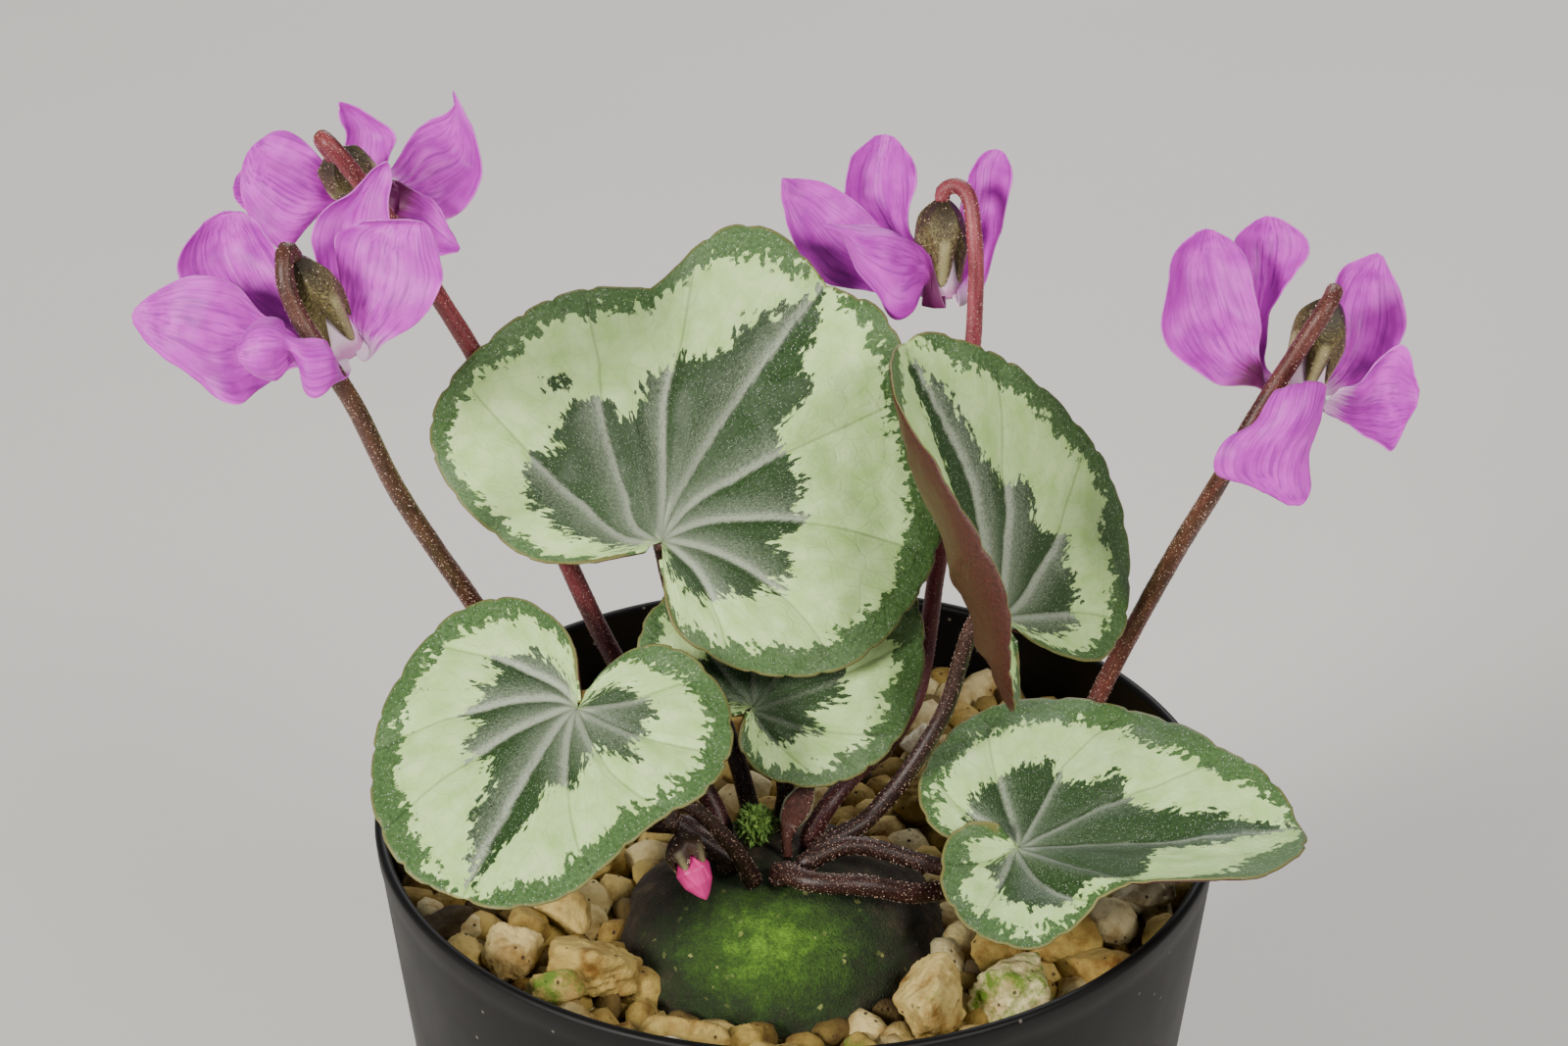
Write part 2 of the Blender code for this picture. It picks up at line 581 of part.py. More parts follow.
def petal_grid(flower, petal):
    """Rows of places across a petal, from its root to the row before its tip, and the tip."""
    spine, across = petal_spine(flower, petal)
    rows = []
    for station in range(PETAL_STATIONS):
        share = station / PETAL_STATIONS
        ahead = (spine[station + 1] - spine[max(station - 1, 0)]).normalized()
        across = (across - ahead * across.dot(ahead)).normalized()
        spin = math.radians(petal["twist"]) * share * share * (3 - 2 * share)
        side = Matrix.Rotation(spin, 3, ahead) @ across
        over = side.cross(ahead)
        wide = petal_width(petal, share)
        row = []
        for lane in range(PETAL_LANES + 1):
            off = 2 * lane / PETAL_LANES - 1
            hollow = petal["cup"] * off * off * min(1.0, 3 * share) * wide / petal["wide"]
            row.append(spine[station] + side * (wide * off) + over * hollow)
        rows.append(row)
    return rows, spine[-1]


def build_petal(name, flower, petal):
    rows, tip = petal_grid(flower, petal)
    points = [point for row in rows for point in row]
    points.append(tip)
    width = PETAL_LANES + 1
    faces = []
    for station in range(len(rows) - 1):
        for lane in range(PETAL_LANES):
            corner = station * width + lane
            faces.append((corner, corner + 1, corner + width + 1, corner + width))
    start = (len(rows) - 1) * width
    for lane in range(PETAL_LANES):
        faces.append((start + lane, start + lane + 1, len(points) - 1))
    blade = add_mesh(name, points, faces, PETAL_MAGENTA)
    solidify(blade, PETAL_THICKNESS, 0.0)


def build_flower(name, flower):
    mouth, hang, right, front = flower_frame(flower)
    top = mouth - hang * flower["length"]
    build_calyx(f"{name}_calyx", top, hang, 0.72 * flower["length"], 2.7, CALYX_OLIVE)
    build_tube(f"{name}_tube", top, hang, flower["length"])
    for i, petal in enumerate(flower["petals"]):
        build_petal(f"{name}_petal_{i + 1}", flower, petal)
    foot = crown_foot(*flower["foot"])
    route = [foot, foot + Vector((0.0, 0.0, 1.2)),
             *flower["way"],
             *(mouth + face_vector(*place) for place in flower["hook"]),
             top - hang * 1.3, top - hang * PEDICEL_CLEAR]
    add_stem(f"{name}_pedicel", route, *PEDICEL_RADIUS, PEDICEL_RED)


# The bud: hangs from a short bent stem, in front of the tuber
BUD_TOP = Vector((-12.2, -22.0, 97.5))
BUD_TIP = Vector((-9.2, -25.4, 91.6))
BUD_RADIUS = 1.85


def build_bud():
    hang = (BUD_TIP - BUD_TOP).normalized()
    length = (BUD_TIP - BUD_TOP).length
    start = 1.1
    profile = [(0.0, start), (0.6, start + 0.4), (1.15, start + 1.4), (BUD_RADIUS, 0.55 * length),
               (0.8 * BUD_RADIUS, 0.75 * length), (0.3 * BUD_RADIUS, 0.93 * length), (0.0, length)]
    bud = add_profile("bud_petals", list(reversed(profile)), 12, BUD_PINK)
    place_on_axis(bud, BUD_TOP, hang)
    build_calyx("bud_calyx", BUD_TOP, hang, 0.55 * length, 2.6, CALYX_OLIVE)
    foot = crown_foot(-4.6, -17.4)
    route = [foot, foot + Vector((-0.3, -0.3, 1.2)), Vector((-6.8, -18.9, 94.0)),
             Vector((-9.8, -20.2, 98.6)), Vector((-12.1, -20.9, 100.3)),
             BUD_TOP - hang * 1.3, BUD_TOP - hang * PEDICEL_CLEAR]
    add_stem("bud_stem", route, 0.9, 0.75, STALK_BROWN)


# Between the stalks on the crown: a tuft of moss, and a young leaf that is still folded
MOSS_CENTRE = (-4.3, -9.7)
MOSS_RADIUS = 1.9
YOUNG_FOOT = (-1.0, -13.2)
YOUNG_WAY = [(-1.0, -12.6, 90.6), (-0.8, -11.8, 92.4), (-0.4, -11.0, 94.3), (0.3, -10.3, 96.0)]
YOUNG_SECTIONS = ((0.5, 0.5), (0.5, 0.5), (0.6, 0.5), (1.5, 0.6), (1.9, 0.7), (1.2, 0.6),
                  (0.4, 0.3))


def build_moss():
    mesh = bpy.data.meshes.new("moss_tuft")
    shape = bmesh.new()
    bmesh.ops.create_icosphere(shape, subdivisions=3, radius=1.0)
    for vertex in shape.verts:
        vertex.co *= MOSS_RADIUS * (1.0 + 0.25 * noise.noise(vertex.co * 2.4)) * MM
    lowest = min(vertex.co.z for vertex in shape.verts)
    shape.to_mesh(mesh)
    shape.free()
    tuft = bpy.data.objects.new("moss_tuft", mesh)
    x, y = MOSS_CENTRE
    tuft.location = (x * MM, y * MM, (tuber_height(x, y) + GAP + 0.2) * MM - lowest)
    tuft.data.materials.append(MOSS)
    PARTS.objects.link(tuft)


def build_young_leaf():
    """One closed skin around the stalk and the folded blade at its top."""
    sides = 10
    path = smooth_path([crown_foot(*YOUNG_FOOT), *YOUNG_WAY], len(YOUNG_SECTIONS))
    points = []
    for i, (wide, deep) in enumerate(YOUNG_SECTIONS):
        ahead = (path[min(i + 1, len(path) - 1)] - path[max(i - 1, 0)]).normalized()
        across = (Vector((1.0, 0.0, 0.0)) - ahead * ahead.x).normalized()
        over = ahead.cross(across)
        for side in range(sides):
            angle = 2 * math.pi * side / sides
            points.append(path[i] + across * (wide * math.cos(angle))
                          + over * (deep * math.sin(angle)))
    faces = [tuple(reversed(range(sides))),
             tuple(range(len(points) - sides, len(points)))]
    for ring in range(len(YOUNG_SECTIONS) - 1):
        for side in range(sides):
            a = ring * sides + side
            b = ring * sides + (side + 1) % sides
            faces.append((a, b, b + sides, a + sides))
    add_mesh("leaf_young", points, faces, STALK_BROWN)


clear_scene()
PARTS = new_collection("potted_hardy_cyclamen")
CUTTERS = new_collection("cutters")
BLACK_PLASTIC = make_material("black_polypropylene", (0.012, 0.012, 0.012), 0.38)
SOIL = make_material("potting_soil", (0.05, 0.03, 0.02), 0.95)
GRIT = make_material("limestone_grit", (0.55, 0.42, 0.22), 0.85)
TUBER_SKIN = make_material("tuber_skin", (0.07, 0.10, 0.02), 0.9)
LEAF_GREEN = make_material("leaf_green", (0.25, 0.36, 0.18), 0.5)
STALK_BROWN = make_material("stalk_brown", (0.10, 0.04, 0.03), 0.55)
PEDICEL_RED = make_material("pedicel_red", (0.20, 0.06, 0.05), 0.55)
CALYX_OLIVE = make_material("calyx_olive", (0.16, 0.12, 0.05), 0.6)
PETAL_WHITE = make_material("petal_white", (0.80, 0.70, 0.75), 0.5)
PETAL_MAGENTA = make_material("petal_magenta", (0.65, 0.15, 0.60), 0.5)
BUD_PINK = make_material("bud_pink", (0.60, 0.03, 0.25), 0.45)
MOSS = make_material("moss_green", (0.10, 0.18, 0.04), 0.9)

build_pot()
build_fill()
build_tuber()
build_stones()
for leaf_name, leaf_row in LEAVES.items():
    build_leaf(leaf_name, leaf_row)
for stalk_name, stalk_row in PETIOLES.items():
    build_petiole(stalk_name, *stalk_row)
for flower_name, flower_row in FLOWERS.items():
    build_flower(flower_name, flower_row)
build_bud()
build_moss()
build_young_leaf()
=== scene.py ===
import math

import bmesh
import bpy
import numpy as np
from mathutils import Matrix, Vector, noise


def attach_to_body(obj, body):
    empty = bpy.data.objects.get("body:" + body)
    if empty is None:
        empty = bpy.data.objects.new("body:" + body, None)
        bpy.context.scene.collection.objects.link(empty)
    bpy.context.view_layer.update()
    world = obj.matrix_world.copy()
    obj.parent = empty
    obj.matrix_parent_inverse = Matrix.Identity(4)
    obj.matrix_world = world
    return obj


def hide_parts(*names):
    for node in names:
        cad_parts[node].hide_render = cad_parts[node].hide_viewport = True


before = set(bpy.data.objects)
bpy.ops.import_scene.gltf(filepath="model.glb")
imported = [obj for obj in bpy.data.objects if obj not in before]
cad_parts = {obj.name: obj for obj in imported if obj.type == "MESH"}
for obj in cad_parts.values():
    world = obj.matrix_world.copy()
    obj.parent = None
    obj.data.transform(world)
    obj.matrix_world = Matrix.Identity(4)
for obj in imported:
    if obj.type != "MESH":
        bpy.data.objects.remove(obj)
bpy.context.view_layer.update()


# The pot: a thin nursery pot of black polypropylene, injection moulded in one piece with a
# plain rolled rim and five drain holes. It stands free and carries everything else.
MM = 0.001
POT_HEIGHT = 87.0
RIM_RADIUS = 45.0
BASE_RADIUS = 35.0
POT_WALL = 0.9
POT_FLOOR = 1.4
POT_COLUMNS = 192
DRAIN_HOLES = 5
DRAIN_RADIUS = 3.5
DRAIN_CIRCLE = 22.0


def linear(colour):
    """An sRGB hex colour as the linear numbers that a shader takes."""
    parts = [int(colour[i:i + 2], 16) / 255 for i in (1, 3, 5)]
    return (*(p / 12.92 if p <= 0.04045 else ((p + 0.055) / 1.055) ** 2.4 for p in parts), 1.0)


def add_node(tree, kind, settings=None, links=None):
    """Adds a node with its settings, and brings other nodes' outputs to its inputs."""
    node = tree.nodes.new(kind if "Node" in kind else "ShaderNode" + kind)
    for key, value in (settings or {}).items():
        if key == "stops":
            ramp = node.color_ramp
            while len(ramp.elements) < len(value):
                ramp.elements.new(1.0)
            for element, (place, colour) in zip(ramp.elements, value):
                element.position = place
                element.color = linear(colour)
        elif isinstance(key, int) or key in node.inputs:
            node.inputs[key].default_value = value
        else:
            setattr(node, key, value)
    for key, socket in (links or {}).items():
        tree.links.new(socket, node.inputs[key])
    return node


def new_material(name, settings):
    """A material whose shader takes these settings; its tree and shader come with it."""
    material = bpy.data.materials.new(name)
    material.use_nodes = True
    tree = material.node_tree
    shader = tree.nodes["Principled BSDF"]
    for key, value in settings.items():
        shader.inputs[key].default_value = value
    return material, tree, shader


def make_black_polypropylene():
    """Injection-moulded polypropylene: satin black, with dried splashes and fine dust."""
    material, tree, shader = new_material(
        "black_polypropylene_moulded", {"IOR": 1.49, "Specular IOR Level": 0.22})
    place = add_node(tree, "TexCoord").outputs["Object"]
    cloud = add_node(tree, "TexNoise", {"Scale": 90.0, "Detail": 5.0}, {"Vector": place})
    speck = add_node(tree, "TexVoronoi", {"Scale": 620.0}, {"Vector": place})
    chosen = add_node(tree, "Math", {"operation": "GREATER_THAN", 1: 0.72},
                      {0: speck.outputs["Color"]})
    dot = add_node(tree, "MapRange", {"From Min": 0.16, "From Max": 0.05},
                   {"Value": speck.outputs["Distance"]})
    dust = add_node(tree, "Math", {"operation": "MULTIPLY"},
                    {0: chosen.outputs[0], 1: dot.outputs[0]})
    base = add_node(tree, "ValToRGB", {"stops": [(0.35, "#030303"), (0.75, "#0a0909")]},
                    {"Fac": cloud.outputs["Fac"]})
    dusty = add_node(tree, "Mix", {"data_type": "RGBA", 7: linear("#6f6a62")},
                     {0: dust.outputs[0], 6: base.outputs["Color"]})
    gloss = add_node(tree, "MapRange", {"To Min": 0.36, "To Max": 0.6},
                     {"Value": cloud.outputs["Fac"]})
    grain = add_node(tree, "TexNoise", {"Scale": 1600.0, "Detail": 2.0}, {"Vector": place})
    bump = add_node(tree, "Bump", {"Strength": 0.12, "Distance": 0.00006},
                    {"Height": grain.outputs["Fac"]})
    tree.links.new(dusty.outputs[2], shader.inputs["Base Color"])
    tree.links.new(gloss.outputs[0], shader.inputs["Roughness"])
    tree.links.new(bump.outputs["Normal"], shader.inputs["Normal"])
    return material


def add_piece(name, points, faces, material, values=None):
    """A mesh piece from places in millimetres, with named numbers on its corners."""
    mesh = bpy.data.meshes.new(name)
    mesh.from_pydata((np.asarray(points, float) * MM).tolist(), [], faces)
    for key, rows in (values or {}).items():
        rows = np.asarray(rows, np.float32)
        if rows.ndim == 2:
            layer = mesh.attributes.new(key, "FLOAT_VECTOR", "POINT")
            layer.data.foreach_set("vector", rows.ravel())
        else:
            layer = mesh.attributes.new(key, "FLOAT", "POINT")
            layer.data.foreach_set("value", rows)
    shape = bmesh.new()
    shape.from_mesh(mesh)
    bmesh.ops.remove_doubles(shape, verts=shape.verts, dist=0.002 * MM)
    bmesh.ops.dissolve_degenerate(shape, edges=shape.edges, dist=0.0005 * MM)
    shape.to_mesh(mesh)
    shape.free()
    mesh.shade_smooth()
    mesh.materials.append(material)
    piece = bpy.data.objects.new(name, mesh)
    bpy.context.scene.collection.objects.link(piece)
    return piece


def stands_for(piece, slot, *nodes):
    """Puts the piece on the root body and hides the nodes that it stands for. The slot is not used."""
    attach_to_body(piece, "root")
    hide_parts(*nodes)


def add_skin(name, grid, material, values=None):
    """A closed body from rings of places, whose first and last rings are drawn to a point."""
    grid = np.asarray(grid, float)
    rings, columns = grid.shape[:2]
    faces = []
    for ring in range(rings - 1):
        for column in range(columns):
            after = (column + 1) % columns
            faces.append((ring * columns + column, ring * columns + after,
                          (ring + 1) * columns + after, (ring + 1) * columns + column))
    values = {key: np.asarray(rows, float).reshape(rings * columns, -1).squeeze()
              for key, rows in (values or {}).items()}
    return add_piece(name, grid.reshape(-1, 3), faces, material, values)


def turned(profile, columns):
    """Rings about the upright axis from (radius, height) pairs, from the foot up."""
    angles = np.arange(columns) * 2 * math.pi / columns
    return [[(radius * math.cos(a), radius * math.sin(a), height) for a in angles]
            for radius, height in profile]


def settle(piece):
    """Turns the piece's modifiers into a plain mesh."""
    graph = bpy.context.evaluated_depsgraph_get()
    mesh = bpy.data.meshes.new_from_object(piece.evaluated_get(graph))
    piece.modifiers.clear()
    old = piece.data
    piece.data = mesh
    bpy.data.meshes.remove(old)


def pot_radius(height):
    return BASE_RADIUS + (RIM_RADIUS - BASE_RADIUS) * height / POT_HEIGHT


def make_pot():
    """The shell: outside from the foot up, over the rolled rim, and down the inside."""
    outside = [(0.0, 0.35), (12.0, 0.35), (13.0, 0.0), (33.2, 0.0), (34.3, 0.25), (34.9, 0.9)]
    outside += [(pot_radius(h), float(h)) for h in range(2, 84, 3)]
    rim = [(pot_radius(84.2), 84.2), (pot_radius(84.6) + 0.12, 84.6)]
    for step in range(9):
        angle = math.radians(-10 + 200 * step / 8)
        rim.append((RIM_RADIUS - 0.62 + 0.62 * math.cos(angle), 86.38 + 0.62 * math.sin(angle)))
    inside = [(pot_radius(h) - POT_WALL, float(h)) for h in range(83, 3, -4)]
    inside += [(pot_radius(2.4) - POT_WALL, 2.5), (pot_radius(2) - POT_WALL - 0.8, POT_FLOOR),
               (0.0, POT_FLOOR)]
    pot = add_skin("pot_shell", turned(outside + rim + inside, POT_COLUMNS), BLACK_POLYPROPYLENE)
    drills = []
    for i in range(DRAIN_HOLES):
        angle = 2 * math.pi * i / DRAIN_HOLES
        hole = [(0.0, -3.0), (DRAIN_RADIUS, -3.0), (DRAIN_RADIUS, 4.0), (0.0, 4.0)]
        rings = np.array(turned(hole, 32))
        rings[..., 0] += DRAIN_CIRCLE * math.cos(angle)
        rings[..., 1] += DRAIN_CIRCLE * math.sin(angle)
        drill = add_skin(f"drain_drill_{i + 1}", rings, BLACK_POLYPROPYLENE)
        drills.append(drill)
        cut = pot.modifiers.new(f"Drain {i + 1}", "BOOLEAN")
        cut.operation = "DIFFERENCE"
        cut.solver = "EXACT"
        cut.object = drill
    settle(pot)
    for drill in drills:
        bpy.data.objects.remove(drill, do_unlink=True)
    stands_for(pot, "pot", "pot")


BLACK_POLYPROPYLENE = make_black_polypropylene()
make_pot()


# Potting mix: dark peat and bark crumbs that fill the lower pot. It is poured in and only
# shows through the drain holes, so the plain plug stays and takes a crumbly finish.

def make_potting_mix():
    """Moist bark and peat: near black crumbs with fibrous brown bits, quite matt."""
    material, tree, shader = new_material("peat_and_bark_mix", {"Roughness": 0.95})
    place = add_node(tree, "TexCoord").outputs["Object"]
    crumb = add_node(tree, "TexVoronoi", {"Scale": 480.0}, {"Vector": place})
    tone = add_node(tree, "ValToRGB", {"stops": [(0.1, "#120c08"), (0.5, "#2c1d12"),
                                                 (0.9, "#4b3521")]},
                    {"Fac": crumb.outputs["Color"]})
    bump = add_node(tree, "Bump", {"Strength": 0.8, "Distance": 0.0008},
                    {"Height": crumb.outputs["Distance"]})
    tree.links.new(tone.outputs["Color"], shader.inputs["Base Color"])
    tree.links.new(bump.outputs["Normal"], shader.inputs["Normal"])
    return material


POTTING_MIX = make_potting_mix()
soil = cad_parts["potting_soil"]
soil.data.materials.clear()
soil.data.materials.append(POTTING_MIX)


# Grit: a top dressing of washed limestone chips, 3 to 11 mm, laid loose over the mix and
# round the tuber. The eight largest stones are pieces of their own, the rest is one bed.
GRIT_TOP = 79.0
TUBER_CENTRE = Vector((-1.4, -13.5, 78.0))
TUBER_RADIUS = 17.5
TUBER_HALF_HEIGHT = 10.4


def make_limestone():
    """Weathered limestone: each chip its own ochre, cream or white, pitted and dusty, with
    darker iron stains in the pits and a green film of algae on the damp ones."""
    material, tree, shader = new_material("limestone_grit_weathered", {"Roughness": 0.85})
    place = add_node(tree, "TexCoord").outputs["Object"]
    tint = add_node(tree, "Attribute", {"attribute_name": "tint"}).outputs["Fac"]
    algae = add_node(tree, "Attribute", {"attribute_name": "algae"}).outputs["Fac"]
    base = add_node(tree, "ValToRGB", {"stops": [
        (0.0, "#3a2d12"), (0.2, "#806a2a"), (0.42, "#ab934a"), (0.6, "#c2ab64"),
        (0.8, "#d8cc9a"), (1.0, "#ece8d4")]}, {"Fac": tint})
    blot = add_node(tree, "TexNoise", {"Scale": 260.0, "Detail": 6.0, "Roughness": 0.62},
                    {"Vector": place})
    stain = add_node(tree, "MapRange", {"From Min": 0.46, "From Max": 0.68},
                     {"Value": blot.outputs["Fac"]})
    rusty = add_node(tree, "Mix", {"data_type": "RGBA", "blend_type": "MULTIPLY",
                                   7: linear("#a88a50")},
                     {0: stain.outputs[0], 6: base.outputs["Color"]})
    pits = add_node(tree, "TexVoronoi", {"Scale": 900.0}, {"Vector": place})
    pit = add_node(tree, "MapRange", {"From Min": 0.22, "From Max": 0.08},
                   {"Value": pits.outputs["Distance"]})
    few = add_node(tree, "Math", {"operation": "GREATER_THAN", 1: 0.62},
                   {0: pits.outputs["Color"]})
    pitted = add_node(tree, "Math", {"operation": "MULTIPLY"}, {0: pit.outputs[0], 1: few.outputs[0]})
    dark = add_node(tree, "Mix", {"data_type": "RGBA", 7: linear("#4a3a24")},
                    {0: pitted.outputs[0], 6: rusty.outputs[2]})
    film = add_node(tree, "TexNoise", {"Scale": 420.0, "Detail": 5.0, "Roughness": 0.7},
                    {"Vector": place})
    patch = add_node(tree, "Math", {"operation": "MULTIPLY_ADD", 2: -0.42},
                     {0: film.outputs["Fac"], 1: algae})
    green = add_node(tree, "MapRange", {"From Min": 0.0, "From Max": 0.16},
                     {"Value": patch.outputs[0]})
    mossy = add_node(tree, "Mix", {"data_type": "RGBA", 7: linear("#5f7c1e")},
                     {0: green.outputs[0], 6: dark.outputs[2]})
    relief = add_node(tree, "TexNoise", {"Scale": 1300.0, "Detail": 6.0, "Roughness": 0.65},
                      {"Vector": place})
    height = add_node(tree, "Math", {"operation": "SUBTRACT"},
                      {0: relief.outputs["Fac"], 1: pitted.outputs[0]})
    bump = add_node(tree, "Bump", {"Strength": 0.8, "Distance": 0.0005},
                    {"Height": height.outputs[0]})
    tree.links.new(mossy.outputs[2], shader.inputs["Base Color"])
    tree.links.new(bump.outputs["Normal"], shader.inputs["Normal"])
    return material


def chip_shape(seed, level, cuts=12):
    """A limestone chip of about unit radius: flat breaks, worn edges, fine lumps."""
    draw = np.random.default_rng(seed)
    planes = draw.normal(size=(cuts, 3))
    planes /= np.linalg.norm(planes, axis=1)[:, None]
    depths = draw.uniform(0.66, 1.0, cuts)
    shape = bmesh.new()
    bmesh.ops.create_icosphere(shape, subdivisions=level, radius=1.0)
    places = np.array([tuple(v.co) for v in shape.verts])
    faces = [tuple(v.index for v in face.verts) for face in shape.faces]
    shape.free()
    facing = np.maximum(places @ planes.T, 0.05)
    reach = depths / facing
    sharp = 26.0
    near = -np.log(np.exp(-sharp * np.minimum(reach, 3.0)).sum(1) + np.exp(-sharp * 1.12)) / sharp
    shift = Vector(draw.uniform(0, 50, 3))
    lumps = np.array([noise.fractal(Vector(p) * 2.6 + shift, 0.8, 2.0, 4) for p in places])
    return places * (near * (1.0 + 0.10 * lumps))[:, None], faces


def chip_at(seed, level, centre, size, turn):
    """The chip stretched to its length, width and height, turned and put in its place."""
    points, faces = chip_shape(seed, level)
    points = points / (np.ptp(points, axis=0) / 2) * (np.array(size) / 2)
    c, s = math.cos(math.radians(turn)), math.sin(math.radians(turn))
    points = points @ np.array([[c, s, 0], [-s, c, 0], [0, 0, 1]])
    return points + np.array(centre), faces


# Large stones: place on the grit, length, width, height, turn, tint and algae
STONES = {
    "stone_ochre": (-21.0, -24.6, 10.5, 8.5, 7.0, 20, 0.50, 0.35),
    "stone_yellow": (-11.5, -36.0, 9.5, 6.5, 5.5, -15, 0.52, 0.2),
    "stone_cream": (-29.5, -20.5, 6.5, 6.0, 5.5, 0, 0.66, 0.2),
    "stone_grey_green": (13.3, -31.5, 8.5, 7.0, 9.0, 60, 0.62, 0.72),
    "stone_speckled": (22.3, -28.5, 9.0, 7.5, 6.5, 35, 0.78, 0.95),
    "stone_tan": (27.5, -18.0, 9.0, 7.5, 5.5, 10, 0.40, 0.3),
    "stone_white": (36.0, -10.0, 7.0, 7.0, 6.0, 40, 0.86, 0.1),
    "stone_amber": (14.0, 8.5, 8.0, 7.0, 6.0, 75, 0.38, 0.1),
}

# Smaller stones that show: place, height of the middle, length, width, height, tint, algae
CHIPS = [
    (-25.0, -29.0, 83.2, 6.4, 4.6, 4.4, 0.58, 0.95), (-28.3, -15.6, 81.5, 7.0, 5.0, 4.2, 0.34, 0.2),
    (-24.4, -12.4, 82.0, 7.4, 6.2, 5.6, 0.60, 0.1), (-34.6, -20.4, 81.2, 5.4, 5.0, 4.6, 0.56, 0.1),
    (-36.4, -14.2, 80.6, 6.4, 4.4, 3.6, 0.02, 0.1), (-22.6, -32.0, 80.8, 6.6, 4.4, 4.0, 0.70, 0.2),
    (-28.4, -28.4, 80.4, 4.6, 4.2, 3.6, 0.48, 0.3), (-17.4, -33.6, 80.4, 5.6, 4.6, 3.8, 0.56, 0.3),
    (-1.0, -38.6, 80.6, 7.0, 4.6, 4.0, 0.50, 0.3), (6.8, -37.0, 80.6, 5.4, 4.6, 4.2, 0.30, 0.85),
    (17.2, -36.4, 80.6, 5.8, 4.4, 3.8, 0.52, 0.8), (24.0, -34.0, 80.4, 5.0, 4.6, 3.8, 0.55, 0.3),
    (31.8, -24.4, 81.4, 10.6, 6.0, 5.2, 0.42, 0.35), (38.6, -17.0, 80.8, 5.4, 6.2, 4.6, 0.45, 0.1),
    (33.0, -15.0, 82.0, 6.4, 5.6, 4.6, 0.80, 0.1), (20.5, -20.5, 81.6, 6.2, 5.6, 5.0, 0.35, 0.3),
    (14.0, 19.5, 81.8, 5.0, 4.6, 4.2, 0.90, 0.0), (17.5, 15.0, 81.5, 6.4, 5.2, 4.4, 0.78, 0.0),
    (-6.0, 21.5, 81.5, 5.8, 5.2, 4.4, 0.45, 0.0), (20.5, 3.0, 81.5, 6.4, 5.4, 4.6, 0.62, 0.0),
    (22.5, -6.0, 81.5, 6.6, 5.2, 4.6, 0.52, 0.0), (29.0, -4.0, 81.2, 5.8, 5.4, 4.4, 0.68, 0.0),
    (-22.5, -4.0, 81.4, 6.2, 5.0, 4.4, 0.5, 0.1), (-30.5, -6.5, 81.2, 6.4, 5.2, 4.2, 0.42, 0.1),
    (-13.5, 7.0, 81.4, 6.2, 5.4, 4.4, 0.55, 0.0), (3.0, 14.0, 81.4, 6.6, 5.4, 4.6, 0.48, 0.0),
    (-5.5, -34.4, 80.6, 5.4, 4.2, 3.8, 0.40, 0.4), (11.6, -38.6, 80.4, 4.6, 4.0, 3.6, 0.74, 0.2),
    (-11.6, -40.2, 82.8, 7.0, 3.8, 4.0, 0.93, 0.8),
]


def scatter_tree():
    """Spreads loose chips over a surface: a few shapes, turned and sized at random."""
    tree = bpy.data.node_groups.new("Spread chips", "GeometryNodeTree")
    sockets = {}
    tree.interface.new_socket("Geometry", in_out="INPUT", socket_type="NodeSocketGeometry")
    for name, kind in (("Spacing", "NodeSocketFloat"), ("Smallest", "NodeSocketFloat"),
                       ("Largest", "NodeSocketFloat"), ("Seed", "NodeSocketInt"),
                       ("Shapes", "NodeSocketCollection"), ("Finish", "NodeSocketMaterial")):
        sockets[name] = tree.interface.new_socket(name, in_out="INPUT", socket_type=kind).identifier
    tree.interface.new_socket("Geometry", in_out="OUTPUT", socket_type="NodeSocketGeometry")
    given = add_node(tree, "NodeGroupInput").outputs
    points = add_node(tree, "GeometryNodeDistributePointsOnFaces",
                      {"distribute_method": "POISSON", "Density Max": 500000.0},
                      {"Mesh": given["Geometry"], "Distance Min": given["Spacing"],
                       "Seed": given["Seed"]})
    shapes = add_node(tree, "GeometryNodeCollectionInfo",
                      {"Separate Children": True, "Reset Children": True},
                      {"Collection": given["Shapes"]})
    turn = add_node(tree, "FunctionNodeRandomValue",
                    {"data_type": "FLOAT_VECTOR", 1: (6.283, 6.283, 6.283)}, {"Seed": given["Seed"]})
    size = add_node(tree, "FunctionNodeRandomValue", {"data_type": "FLOAT"},
                    {2: given["Smallest"], 3: given["Largest"], "Seed": given["Seed"]})
    pick = add_node(tree, "FunctionNodeRandomValue", {"data_type": "INT", 4: 0, 5: 7},
                    {"Seed": given["Seed"]})
    placed = add_node(tree, "GeometryNodeInstanceOnPoints", {"Pick Instance": True},
                      {"Points": points.outputs["Points"], "Instance": shapes.outputs[0],
                       "Instance Index": pick.outputs[2], "Rotation": turn.outputs[0],
                       "Scale": size.outputs[1]})
    shade = add_node(tree, "FunctionNodeRandomValue", {"data_type": "FLOAT", 2: 0.0, 3: 0.8},
                     {"Seed": given["Seed"]})
    tinted = add_node(tree, "GeometryNodeStoreNamedAttribute",
                      {"data_type": "FLOAT", "domain": "INSTANCE", "Name": "tint"},
                      {"Geometry": placed.outputs[0], "Value": shade.outputs[1]})
    real = add_node(tree, "GeometryNodeRealizeInstances", {}, {0: tinted.outputs[0]})
    done = add_node(tree, "GeometryNodeSetMaterial", {},
                    {"Geometry": real.outputs[0], "Material": given["Finish"]})
    add_node(tree, "NodeGroupOutput", {}, {0: done.outputs[0]})
    return tree, sockets


